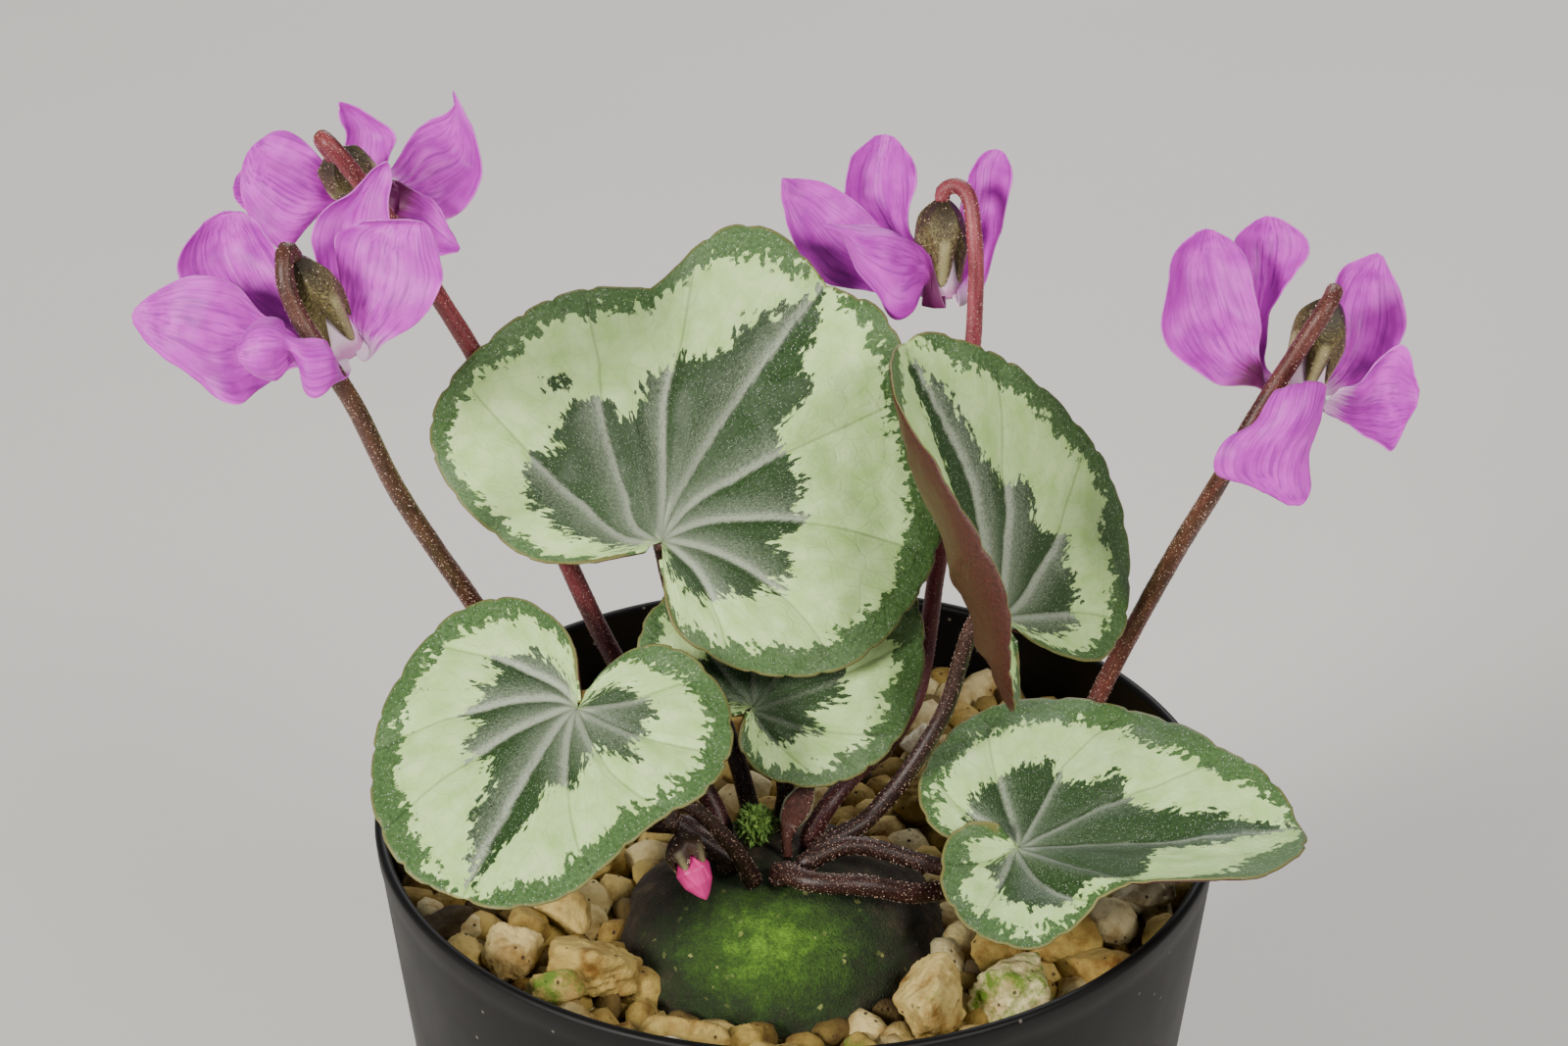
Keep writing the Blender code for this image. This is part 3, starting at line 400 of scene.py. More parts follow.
def bed_surface(name, height, outer):
    """A flat patch grid over the bed, left open where the tuber sits."""
    step = 1.5
    points, faces = [], []
    count = int(outer / step)
    for i in range(-count, count + 1):
        for j in range(-count, count + 1):
            x, y = i * step, j * step
            reach = math.hypot(x - TUBER_CENTRE.x, y - TUBER_CENTRE.y)
            if math.hypot(x, y) > outer or reach < TUBER_RADIUS - 1.0:
                continue
            start = len(points)
            half = step / 2
            z = height + 0.8 * noise.noise(Vector((x, y, 0.0)) * 0.09)
            points += [(x - half, y - half, z), (x + half, y - half, z),
                       (x + half, y + half, z), (x - half, y + half, z)]
            faces.append((start, start + 1, start + 2, start + 3))
    return add_piece(name, points, faces, LIMESTONE)


def make_grit():
    """The loose bed: a plug below, small chips over it, and the smaller stones that show."""
    shapes = bpy.data.collections.new("chip shapes")
    variants = []
    for i in range(8):
        points, faces = chip_shape(40 + i, 2, cuts=8)
        stretch = np.random.default_rng(90 + i).uniform(0.75, 1.15, 3)
        variant = add_piece(f"chip_shape_{i}", points * stretch, faces, LIMESTONE)
        bpy.context.scene.collection.objects.unlink(variant)
        shapes.objects.link(variant)
        variants.append(variant)
    tree, sockets = scatter_tree()
    layers = []
    for i, (height, spacing, least, most) in enumerate(((76.9, 2.2, 1.5, 2.2),
                                                        (78.9, 3.2, 1.8, 2.9))):
        layer = bed_surface(f"chip_layer_{i}", height, 41.5)
        spread = layer.modifiers.new("Spread chips", "NODES")
        spread.node_group = tree
        spread[sockets["Spacing"]] = spacing * MM
        spread[sockets["Smallest"]] = least
        spread[sockets["Largest"]] = most
        spread[sockets["Seed"]] = 3 + i
        spread[sockets["Shapes"]] = shapes
        spread[sockets["Finish"]] = LIMESTONE
        settle(layer)
        layers.append(layer)
    plug = [(0.0, 66.8), (pot_radius(66.8) - 1.2, 66.8), (pot_radius(76.2) - 1.2, 76.2), (0.0, 76.2)]
    base = add_skin("grit_bed", turned(plug, 96), LIMESTONE)
    points = [np.array([tuple(v.co) for v in base.data.vertices]) / MM]
    faces = [tuple(face.vertices) for face in base.data.polygons]
    # The plug under the chips is tinted near the darkest stone colour: partly damp soil, partly
    # painted shade in the gaps between the chips
    tint = [np.full(len(points[0]), 0.05)]
    algae = [np.zeros(len(points[0]))]
    count = len(points[0])
    for layer in layers:
        mesh = layer.data
        some = np.zeros(len(mesh.vertices) * 3)
        mesh.vertices.foreach_get("co", some)
        shade = np.zeros(len(mesh.vertices))
        mesh.attributes["tint"].data.foreach_get("value", shade)
        points.append(some.reshape(-1, 3) / MM)
        faces += [tuple(v + count for v in face.vertices) for face in mesh.polygons]
        tint.append(shade)
        front = np.clip((-points[-1][:, 1] - 22.0) / 14.0, 0, 1)
        algae.append(0.15 + 0.45 * front * (np.sin(shade * 40.0) > 0))
        count += len(mesh.vertices)
    for seed, (x, y, z, length, width, height, shade, film) in enumerate(CHIPS):
        some, sides = chip_at(200 + seed, 4, (x, y, z), (length, width, height), seed * 57.0)
        faces += [tuple(v + count for v in side) for side in sides]
        points.append(some)
        tint.append(np.full(len(some), shade))
        algae.append(np.full(len(some), film))
        count += len(some)
    for item in [base, *layers, *variants]:
        bpy.data.objects.remove(item, do_unlink=True)
    points = np.vstack(points)
    reach = np.hypot(points[:, 0], points[:, 1])
    wall = pot_radius(np.clip(points[:, 2], 0, 83)) - POT_WALL - 0.15
    points[:, :2] *= np.minimum(1.0, wall / np.maximum(reach, 1e-6))[:, None]
    bed = add_piece("grit_chips", points, faces, LIMESTONE,
                    {"tint": np.concatenate(tint), "algae": np.concatenate(algae)})
    stands_for(bed, "grit", "gravel_bed")


def make_stones():
    for seed, (name, row) in enumerate(STONES.items()):
        x, y, length, width, height, turn, shade, film = row
        centre = (x, y, GRIT_TOP + 0.2 + height / 2)
        points, faces = chip_at(300 + seed, 5, centre, (length, width, height), turn)
        stone = add_piece(f"{name}_chip", points, faces, LIMESTONE,
                          {"tint": np.full(len(points), shade),
                           "algae": np.full(len(points), film)})
        stands_for(stone, "grit", name)


LIMESTONE = make_limestone()
make_grit()
make_stones()


# Tuber: the plant's flattened corky storage organ, half sunk in the grit. Brown bark with a felt of
# green algae on the damp front, brightened in its middle as a painted pool of light, and the growing
# point with its stalks on top.

def make_tuber_skin():
    """Corky bark: dull grey brown with fine cracks, under a granular green film where it stays damp,
    which thins to single grains at its edge. The film's green runs from near black at the patch's edge
    to bright in its middle, partly the algae's own depth and partly a painted pool of light."""
    material, tree, shader = new_material("corky_tuber_bark", {"Roughness": 0.92})
    place = add_node(tree, "TexCoord").outputs["Object"]
    patch = add_node(tree, "Attribute", {"attribute_name": "algae"}).outputs["Fac"]
    bark = add_node(tree, "TexNoise", {"Scale": 380.0, "Detail": 7.0, "Roughness": 0.68},
                    {"Vector": place})
    brown = add_node(tree, "ValToRGB", {"stops": [(0.3, "#17110c"), (0.52, "#352a1d"),
                                                  (0.74, "#5c4f38")]},
                     {"Fac": bark.outputs["Fac"]})
    grains = add_node(tree, "TexVoronoi", {"Scale": 4200.0}, {"Vector": place})
    cloud = add_node(tree, "TexNoise", {"Scale": 520.0, "Detail": 7.0, "Roughness": 0.7},
                     {"Vector": place})
    spread = add_node(tree, "Math", {"operation": "MULTIPLY_ADD", 1: 0.8},
                      {0: cloud.outputs["Fac"], 2: patch})
    thin = add_node(tree, "Math", {"operation": "MULTIPLY_ADD", 1: -0.25},
                    {0: grains.outputs["Distance"], 2: spread.outputs[0]})
    cover = add_node(tree, "MapRange", {"From Min": 0.30, "From Max": 0.75},
                     {"Value": thin.outputs[0]})
    # Painted pool of light, with the algae's own depth: the green brightens from the patch's edge to
    # its middle, where the light falls
    depth = add_node(tree, "MapRange", {"From Min": 0.55, "From Max": 1.42},
                     {"Value": spread.outputs[0]})
    green = add_node(tree, "ValToRGB", {"stops": [(0.0, "#0e1407"), (0.4, "#1a2c0a"),
                                                  (0.72, "#315010"), (1.0, "#5d8722")]},
                     {"Fac": depth.outputs[0]})
    lively = add_node(tree, "MapRange", {"From Min": 0.2, "From Max": 0.8, "To Min": 0.75,
                                         "To Max": 1.25},
                      {"Value": grains.outputs["Color"]})
    green = add_node(tree, "VectorMath", {"operation": "SCALE"},
                     {0: green.outputs["Color"], "Scale": lively.outputs[0]})
    dry = add_node(tree, "TexVoronoi", {"Scale": 2100.0}, {"Vector": place})
    pale = add_node(tree, "MapRange", {"From Min": 0.90, "From Max": 0.97, "To Max": 0.6},
                    {"Value": dry.outputs["Color"]})
    green = add_node(tree, "Mix", {"data_type": "RGBA", 7: linear("#a8ad62")},
                     {0: pale.outputs[0], 6: green.outputs[0]})
    coat = add_node(tree, "Mix", {"data_type": "RGBA"},
                    {0: cover.outputs[0], 6: brown.outputs["Color"], 7: green.outputs[2]})
    height = add_node(tree, "Math", {"operation": "MULTIPLY_ADD", 1: -0.5},
                      {0: grains.outputs["Distance"], 2: bark.outputs["Fac"]})
    bump = add_node(tree, "Bump", {"Strength": 0.8, "Distance": 0.0003},
                    {"Height": height.outputs[0]})
    tree.links.new(coat.outputs[2], shader.inputs["Base Color"])
    tree.links.new(bump.outputs["Normal"], shader.inputs["Normal"])
    return material


def make_tuber():
    rings, columns = 110, 220
    places = np.zeros((rings + 1, columns, 3))
    algae = np.zeros((rings + 1, columns))
    for ring in range(rings + 1):
        rise = -math.pi / 2 + math.pi * ring / rings
        for column in range(columns):
            turn = 2 * math.pi * column / columns
            way = Vector((math.cos(rise) * math.cos(turn), math.cos(rise) * math.sin(turn),
                          math.sin(rise)))
            lump = 1.0 - 0.05 * abs(noise.noise(way * 1.6))
            rough = 0.35 * noise.fractal(way * 5.0, 0.9, 2.0, 4)
            wide = TUBER_RADIUS * lump + rough
            places[ring, column] = (TUBER_CENTRE.x + way.x * wide, TUBER_CENTRE.y + way.y * wide,
                                    TUBER_CENTRE.z + way.z * (TUBER_HALF_HEIGHT + rough * 0.6))
            # The algae patch on the front, centred where the light falls; its middle is also painted
            # brighter as a pool of light
            spot = places[ring, column] - np.array((-3.0, -24.0, 85.0))
            algae[ring, column] = 1.0 - math.sqrt((spot[0] / 21.0) ** 2 + (spot[1] / 17.0) ** 2
                                                  + (spot[2] / 14.0) ** 2)
    tuber = add_skin("tuber_corm", places, make_tuber_skin(), {"algae": algae})
    stands_for(tuber, "tuber", "tuber")


def tuber_height(x, y):
    """The height of the tuber's skin above a place on it."""
    reach = math.hypot(x - TUBER_CENTRE.x, y - TUBER_CENTRE.y) / TUBER_RADIUS
    return TUBER_CENTRE.z + TUBER_HALF_HEIGHT * math.sqrt(max(1.0 - reach * reach, 0.0))


make_tuber()


# Moss: a small live cushion that has seeded itself on the tuber's crown between the stalks.
# Hundreds of pointed leaflets stand out from it all round.
MOSS_CENTRE = (-4.3, -9.7)
MOSS_RADIUS = 1.9


def make_moss_green():
    """Live moss: fresh green and dark olive in fine patches, soft and matt."""
    material, tree, shader = new_material("live_moss", {"Roughness": 0.8})
    place = add_node(tree, "TexCoord").outputs["Object"]
    cloud = add_node(tree, "TexNoise", {"Scale": 1500.0, "Detail": 4.0}, {"Vector": place})
    tone = add_node(tree, "ValToRGB", {"stops": [(0.3, "#2f4c18"), (0.5, "#5f8536"),
                                                 (0.72, "#a0c062")]},
                    {"Fac": cloud.outputs["Fac"]})
    bump = add_node(tree, "Bump", {"Strength": 0.4, "Distance": 0.0001},
                    {"Height": cloud.outputs["Fac"]})
    tree.links.new(tone.outputs["Color"], shader.inputs["Base Color"])
    tree.links.new(bump.outputs["Normal"], shader.inputs["Normal"])
    return material


def bristle_tree():
    """Stands small stretched balls out from a surface: tall ones for leaflets, round ones for glands.
    """
    tree = bpy.data.node_groups.new("Stand out", "GeometryNodeTree")
    sockets = {}
    tree.interface.new_socket("Geometry", in_out="INPUT", socket_type="NodeSocketGeometry")
    for name, kind in (("Density", "NodeSocketFloat"), ("Width", "NodeSocketFloat"),
                       ("Height", "NodeSocketFloat"), ("Lean", "NodeSocketFloat"),
                       ("Seed", "NodeSocketInt"), ("Finish", "NodeSocketMaterial")):
        sockets[name] = tree.interface.new_socket(name, in_out="INPUT", socket_type=kind).identifier
    tree.interface.new_socket("Geometry", in_out="OUTPUT", socket_type="NodeSocketGeometry")
    given = add_node(tree, "NodeGroupInput").outputs
    points = add_node(tree, "GeometryNodeDistributePointsOnFaces", {"distribute_method": "RANDOM"},
                      {"Mesh": given["Geometry"], "Density": given["Density"],
                       "Seed": given["Seed"]})
    bead = add_node(tree, "GeometryNodeMeshIcoSphere", {"Subdivisions": 1},
                    {"Radius": given["Width"]})
    stretch = add_node(tree, "Math", {"operation": "DIVIDE"},
                       {0: given["Height"], 1: given["Width"]})
    tall = add_node(tree, "CombineXYZ", {0: 1.0, 1: 1.0}, {2: stretch.outputs[0]})
    shape = add_node(tree, "GeometryNodeTransform", {}, {"Geometry": bead.outputs["Mesh"],
                                                         "Scale": tall.outputs[0]})
    shape = add_node(tree, "GeometryNodeStoreNamedAttribute",
                     {"data_type": "BOOLEAN", "domain": "FACE", "Name": "standing", "Value": True},
                     {"Geometry": shape.outputs[0]})
    lean = add_node(tree, "Math", {"operation": "MULTIPLY", 1: -1.0}, {0: given["Lean"]})
    least = add_node(tree, "CombineXYZ", {}, {0: lean.outputs[0], 1: lean.outputs[0]})
    most = add_node(tree, "CombineXYZ", {}, {0: given["Lean"], 1: given["Lean"]})
    tilt = add_node(tree, "FunctionNodeRandomValue", {"data_type": "FLOAT_VECTOR"},
                    {0: least.outputs[0], 1: most.outputs[0], "Seed": given["Seed"]})
    tilted = add_node(tree, "FunctionNodeEulerToRotation", {}, {0: tilt.outputs[0]})
    facing = add_node(tree, "FunctionNodeRotateRotation", {"rotation_space": "LOCAL"},
                      {0: points.outputs["Rotation"], 1: tilted.outputs[0]})
    size = add_node(tree, "FunctionNodeRandomValue", {"data_type": "FLOAT", 2: 0.6, 3: 1.35},
                    {"Seed": given["Seed"]})
    placed = add_node(tree, "GeometryNodeInstanceOnPoints", {},
                      {"Points": points.outputs["Points"], "Instance": shape.outputs[0],
                       "Rotation": facing.outputs[0], "Scale": size.outputs[1]})
    both = add_node(tree, "GeometryNodeJoinGeometry")
    tree.links.new(placed.outputs[0], both.inputs[0])
    tree.links.new(given["Geometry"], both.inputs[0])
    real = add_node(tree, "GeometryNodeRealizeInstances", {}, {0: both.outputs[0]})
    standing = add_node(tree, "GeometryNodeInputNamedAttribute",
                        {"data_type": "BOOLEAN", "Name": "standing"})
    done = add_node(tree, "GeometryNodeSetMaterial", {},
                    {"Geometry": real.outputs[0], "Selection": standing.outputs[0],
                     "Material": given["Finish"]})
    add_node(tree, "NodeGroupOutput", {}, {0: done.outputs[0]})
    return tree, sockets


BRISTLES, BRISTLE_SOCKETS = bristle_tree()


def stand_out(piece, density, width, height, lean, seed, finish):
    """Covers a piece with small shapes: so many a square millimetre, sizes in millimetres."""
    spread = piece.modifiers.new("Stand out", "NODES")
    spread.node_group = BRISTLES
    given = {"Density": density / MM**2, "Width": width * MM, "Height": height * MM,
             "Lean": lean, "Seed": seed, "Finish": finish}
    for name, value in given.items():
        spread[BRISTLE_SOCKETS[name]] = value
    settle(piece)


def make_moss():
    green = make_moss_green()
    x, y = MOSS_CENTRE
    middle = Vector((x, y, tuber_height(x, y) + 0.7 + MOSS_RADIUS * 0.85))
    rings, columns = 16, 28
    places = []
    for ring in range(rings + 1):
        rise = -math.pi / 2 + math.pi * ring / rings
        row = []
        for column in range(columns):
            turn = 2 * math.pi * column / columns
            way = Vector((math.cos(rise) * math.cos(turn), math.cos(rise) * math.sin(turn),
                          math.sin(rise)))
            row.append(middle + way * (MOSS_RADIUS * 0.82 * (1.0 + 0.3 * noise.noise(way * 2.4))))
        places.append(row)
    tuft = add_skin("moss_cushion", places, green)
    stand_out(tuft, 12.0, 0.19, 0.85, 0.9, 5, green)
    stands_for(tuft, "moss", "moss_tuft")


make_moss()


# Leaf blades: five thick heart-shaped leaves, each grown on its own stalk. The upper face is
# dark green with a pale silvery band, its veins sunk, and the underside is red brown.
LEAF_THICKNESS = 0.6
# silver: which side of each vein (+1 left, -1 right) takes the grey silver with its painted highlight,
# and how strongly
LEAVES = {
    "leaf_large": dict(
        attach=(-13.9, -2.0, 120.1), face=(0.05, -0.80, 0.60), tip=(3.2, 14.9, 141.2),
        half=26.0, left=(12, -14), right=(8, -22), pleats=[(38, -3.5, 13)], silver=1.0,
        outline=[(-145, 4), (-140, 8.5), (-124, 13), (-108, 18), (-90, 23.5), (-72, 27),
                 (-55, 29.5), (-38, 30.2), (-22, 31.5), (-10, 33), (0, 32), (12, 34.2),
                 (20, 33.7), (26, 31), (34, 27.2), (49, 27.8), (66, 27.8), (88, 27.7),
                 (98, 26.4), (108, 22.8), (120, 17.5), (132, 13), (139, 8), (143, 4)],
        centre=[(-139, 0), (-133, .25), (-128, .38), (-122, .4), (-116, .4), (-111, .47),
                (-106, .42), (-100, .41), (-94, .4), (-91, .49), (-84, .44), (-80, .54),
                (-77, .46), (-73, .51), (-68, .49), (-63, .46), (-60, .39), (-56, .41),
                (-52, .46), (-49, .51), (-45, .47), (-41, .5), (-37, .5), (-34, .54),
                (-30, .5), (-26, .52), (-22, .5), (-17, .49), (-12.5, .51), (-12, .72),
                (-8, .68), (-5, .75), (-4, .82), (-3, .88), (-1, .93), (0, 1), (2, .93),
                (3, .88), (6, .84), (6.5, .78), (9, .78), (10, .72), (12.8, .72), (13, .62),
                (15, .6), (19, .58), (23, .59), (27, .65), (30, .62), (34, .66), (38, .64),
                (41, .58), (43, .5), (47, .47), (51, .48), (53, .55), (57, .59), (61, .6),
                (66, .63), (69, .6), (73, .57), (77, .57), (81, .52), (84, .52), (86, .58),
                (90, .58), (96, .58), (100, .59), (105, .6), (108, .63), (110, .55),
                (114, .58), (118, .55), (121, .5), (124, .46), (128, .42), (131, .38),
                (134, .25), (137, 0)],
        band=[(-145, .7), (-138, .78), (-130, .8), (-120, .83), (-110, .8), (-100, .78),
              (-92, .83), (-80, .84), (-70, .88), (-60, .86), (-45, .88), (-30, .87),
              (-20, .9), (-12, .92), (-6, .96), (0, 1.02), (5, .97), (10, .91), (22, .9),
              (30, .93), (40, .92), (50, .9), (60, .92), (70, .89), (80, .92), (90, .91),
              (100, .92), (108, .88), (112, .86), (120, .87), (128, .82), (135, .75), (143, .7)],
        veins=[[(14, .08), (9, .2), (6, .35), (4, .5), (2, .7), (0, 1)],
               [(27, .12), (30, .3), (31, .5), (27, .7), (26, .95)],
               [(92, .1), (70, .2), (62, .35), (58, .5), (52, .7), (50, .95)],
               [(115, .18), (97, .32), (91, .5), (87, .7), (84, .9)],
               [(-8, .12), (-18, .3), (-22, .5), (-25, .7), (-27, .95)],
               [(-35, .12), (-44, .3), (-50, .5), (-55, .7), (-60, .95)],
               [(-70, .15), (-78, .4), (-85, .65), (-92, .92)],
               [(-100, .2), (-110, .5), (-117, .85)]],
        blots=[(65, .7, .9), (68, .72, .7)]),
    "leaf_left": dict(
        attach=(-22.4, -15.0, 108.4), face=(-0.10, -0.50, 0.86), tip=(-33.3, -32.5, 97.0),
        half=18.0, left=(10, -15), right=(10, -12), pleats=[], silver=-1.0,
        outline=[(-152, 3), (-149, 6), (-138, 10.4), (-123, 14.4), (-107, 16.8), (-88, 18.5),
                 (-68, 20), (-48, 21.7), (-30, 23.4), (-14, 24.5), (0, 23.7), (10, 23.8),
                 (25, 21.5), (40, 18.3), (58, 16), (80, 17.1), (100, 16.7), (118, 15.3),
                 (136, 13), (153, 10.5), (166, 8), (175, 4.5)],
        centre=[(-140, 0), (-136, .15), (-134, .25), (-130, .35), (-122, .4), (-121, .47),
                (-117, .51), (-113, .46), (-109, .5), (-104, .49), (-101, .57), (-98, .6),
                (-93, .62), (-91, .55), (-88, .49), (-84, .48), (-80, .47), (-77, .55),
                (-75, .58), (-72, .5), (-67, .49), (-63, .55), (-58, .56), (-56, .5),
                (-52, .47), (-48, .48), (-45, .53), (-41, .53), (-34, .54), (-32, .46),
                (-29, .43), (-25, .48), (-20, .49), (-16, .49), (-15, .58), (-12, .66),
                (-9, .7), (-7, .77), (-4, .82), (-2, .88), (0, .97), (2, .86), (3, .72),
                (5, .66), (7, .6), (9, .57), (9.5, .48), (10, .4), (15, .4), (22, .4),
                (27, .44), (31, .43), (33, .38), (37, .37), (41, .32), (46, .31), (52, .32),
                (56, .37), (59, .41), (62, .45), (65, .5), (69, .58), (73, .57), (76, .46),
                (80, .43), (85, .44), (90, .47), (94, .44), (97, .43), (102, .52),
                (110, .5), (120, .48), (130, .44), (140, .4), (150, .34), (158, .25),
                (165, 0)],
        band=[(-152, .7), (-146, .74), (-140, .74), (-134, .76), (-128, .8), (-120, .84),
              (-112, .78), (-105, .84), (-95, .86), (-80, .87), (-60, .87), (-40, .88),
              (-25, .86), (-15, .89), (-8, .94), (-3, 1), (0, 1.02), (3, .95), (8, .9),
              (15, .87), (25, .86), (33, .82), (45, .82), (52, .8), (58, .84), (64, .88),
              (72, .84), (80, .82), (88, .84), (95, .83), (103, .84), (115, .82), (130, .8),
              (145, .75), (160, .7), (175, .6)],
        veins=[[(-9, .1), (-5, .3), (-3, .5), (-1, .75), (0, 1)],
               [(-40, .1), (-38, .3), (-34, .5), (-30, .8), (-27, .97)],
               [(-80, .1), (-70, .25), (-62, .45), (-57, .7), (-52, .95)],
               [(-110, .15), (-100, .35), (-95, .6), (-90, .9)],
               [(18, .15), (24, .45), (30, .8), (34, .95)],
               [(48, .15), (52, .5), (60, .8), (64, .95)],
               [(85, .2), (88, .5), (94, .85)], [(120, .2), (124, .5), (128, .85)]],
        blots=[]),
    "leaf_small": dict(
        attach=(-4.7, -8.0, 103.8), face=(0.05, -0.75, 0.66), tip=(6.8, 3.5, 116.0),
        half=14.0, left=(10, -10), right=(10, -20), pleats=[], silver=-0.4,
        outline=[(-172, 2), (-162, 4.3), (-145, 6.2), (-128, 8.1), (-106, 10.8), (-86, 13.4),
                 (-65, 16.1), (-47, 18), (-32, 19.7), (-15, 21), (0, 20.3), (15, 19.5),
                 (35, 17.5), (55, 15.6), (73, 14.8), (88, 14.2), (102, 12.8), (116, 11),
                 (130, 8.4), (142, 5), (146, 2.5)],
        centre=[(-142, 0), (-136, .2), (-133, .3), (-128, .36), (-121, .38), (-119, .44),
                (-110, .45), (-100, .45), (-92, .43), (-84, .43), (-80, .44), (-78, .5),
                (-73, .5), (-70, .46), (-66, .4), (-63, .35), (-60, .38), (-56, .42),
                (-52, .48), (-50, .58), (-47, .54), (-44, .5), (-40, .52), (-36, .52),
                (-32, .5), (-20, .5), (-12, .55), (-6, .62), (0, .85), (5, .62), (15, .52),
                (30, .5), (45, .48), (60, .5), (75, .48), (85, .5), (95, .5), (102, .55),
                (108, .5), (114, .43), (117, .35), (120, .25), (124, 0)],
        band=[(-172, .6), (-160, .6), (-150, .63), (-143, .66), (-135, .75), (-120, .78),
              (-100, .8), (-80, .8), (-60, .8), (-45, .82), (-30, .83), (0, .9), (30, .85),
              (60, .84), (90, .85), (100, .85), (115, .84), (122, .76), (130, .65),
              (138, .55), (146, .5)],
        veins=[[(0, .1), (0, .5), (0, 1)], [(-38, .12), (-36, .5), (-32, .95)],
               [(-78, .15), (-74, .5), (-66, .92)], [(-112, .2), (-108, .55), (-102, .9)],
               [(38, .12), (36, .5), (32, .95)], [(78, .15), (74, .5), (66, .92)],
               [(108, .2), (106, .55), (102, .9)]],
        blots=[]),
    "leaf_right": dict(
        attach=(22.7, -15.6, 92.0), face=(-0.05, -0.22, 0.97), tip=(51.8, -14.9, 93.7),
        half=20.0, left=(10, 0), right=(3, 5), pleats=[(-33, 6.0, 22), (-190, 2.5, 35)],
        silver=-0.7,
        outline=[(-206, 2.5), (-194, 5), (-178, 6.9), (-160, 8.4), (-143, 10.2), (-126, 12),
                 (-108, 14), (-91, 15.1), (-74, 14), (-58, 13.2), (-47, 15), (-38, 20.5),
                 (-30, 25.5), (-20, 28), (-10, 29.5), (0, 29.2), (10, 28), (23, 25),
                 (40, 23), (60, 21.2), (80, 19.7), (100, 17.8), (120, 15.2), (143, 12.1),
                 (158, 9.8), (168, 7), (172, 4)],
        centre=[(-150, 0), (-146, .15), (-143, .28), (-142, .36), (-138, .41), (-130, .41),
                (-120, .42), (-114, .43), (-110, .49), (-104, .55), (-98, .59), (-92, .62),
                (-86, .66), (-80, .7), (-72, .72), (-66, .78), (-58, .8), (-50, .77),
                (-45, .74), (-38, .7), (-33, .62), (-28, .56), (-24, .51), (-18, .5),
                (-12, .5), (-8.5, .52), (-8, .7), (-6, .75), (-4, .82), (-2, .9), (0, .97),
                (2, .88), (4, .8), (7, .72), (7.5, .62), (11, .62), (11.5, .54), (16, .52),
                (24, .52), (28, .56), (33, .6), (38, .6), (39, .5), (40, .47), (45, .45),
                (52, .43), (58, .45), (60, .5), (64, .5), (67, .56), (72, .56), (75, .53),
                (80, .51), (84, .5), (90, .5), (100, .49), (110, .5), (114, .52),
                (120, .5), (128, .54), (132, .52), (140, .52), (146, .5), (152, .46),
                (158, .36), (166, .2), (170, 0)],
        band=[(-206, .4), (-196, .5), (-186, .58), (-178, .65), (-168, .68), (-160, .62),
              (-150, .6), (-140, .64), (-135, .78), (-128, .84), (-118, .8), (-112, .78),
              (-105, .84), (-95, .86), (-85, .87), (-70, .92), (-55, .93), (-45, .9),
              (-38, .88), (-30, .88), (-24, .86), (-16, .85), (-12, .88), (-6, .95), (0, 1),
              (6, .95), (12, .9), (20, .87), (28, .86), (40, .82), (50, .86), (60, .84),
              (70, .82), (80, .83), (90, .8), (95, .8), (105, .82), (115, .78), (125, .8),
              (140, .83), (150, .84), (160, .8), (172, .7)],
        veins=[[(0, .12), (-1, .3), (-2, .5), (-2, .7), (0, 1)],
               [(30, .12), (28, .3), (26, .5), (22, .9)], [(62, .12), (62, .5), (54, .92)],
               [(100, .15), (100, .5), (97, .92)], [(135, .2), (136, .6), (132, .9)],
               [(-32, .1), (-37, .35), (-40, .8)], [(-74, .12), (-68, .4), (-62, .7), (-58, .92)],
               [(-108, .15), (-112, .5), (-114, .88)], [(-150, .25), (-154, .85)]],
        blots=[]),
    "leaf_folded": dict(
        attach=(20.9, -8.0, 114.8), face=(0.66, -0.55, 0.50), tip=(10.6, 2.7, 140.2),
        half=22.0, left=(15, 90), right=(10, -5), pleats=[], silver=-1.0,
        outline=[(-150, 3), (-141, 8), (-135, 12), (-126, 14.8), (-110, 17.8), (-90, 20.2),
                 (-72, 22.2), (-53, 24), (-35, 26), (-20, 27.6), (-8, 29.8), (0, 29.6),
                 (10, 29), (25, 27), (45, 24), (65, 21), (90, 18), (110, 15), (130, 12.5),
                 (145, 10.5), (157, 9.5), (167, 8.5), (174, 6), (178, 3)],
        centre=[(-147, 0), (-143, .2), (-136, .37), (-130, .43), (-126, .5), (-122, .56),
                (-115, .6), (-109, .56), (-105, .54), (-100, .58), (-95, .54), (-92, .51),
                (-88, .53), (-84, .52), (-80, .49), (-76, .56), (-74, .6), (-70, .57),
                (-66, .51), (-62, .49), (-58, .47), (-54, .45), (-50, .44), (-47, .45),
                (-44, .54), (-40, .58), (-36, .58), (-33, .53), (-30, .51), (-27, .55),
                (-22, .56), (-17, .58), (-15, .64), (-12, .7), (-10, .76), (-8, .82),
                (-5, .85), (-3, .9), (-1, .95), (0, .98), (1, .7), (2, .5), (5, .47),
                (10, .46), (15, .42), (20, .48), (30, .5), (45, .52), (60, .5), (75, .52),
                (90, .5), (105, .52), (120, .5), (135, .45), (150, .4), (160, .3), (170, 0)],
        band=[(-150, .6), (-142, .62), (-137, .7), (-130, .82), (-120, .84), (-105, .82),
              (-90, .82), (-78, .83), (-72, .9), (-60, .9), (-50, .86), (-40, .88),
              (-30, .9), (-20, .9), (-15, .88), (-10, .93), (-4, 1), (0, 1.02), (3, .95),
              (8, .9), (20, .88), (40, .87), (60, .85), (80, .86), (100, .87), (120, .85),
              (140, .8), (155, .75), (170, .7), (178, .6)],
        veins=[[(-5, .08), (-12, .3), (-10, .5), (-5, .7), (-1, .97)],
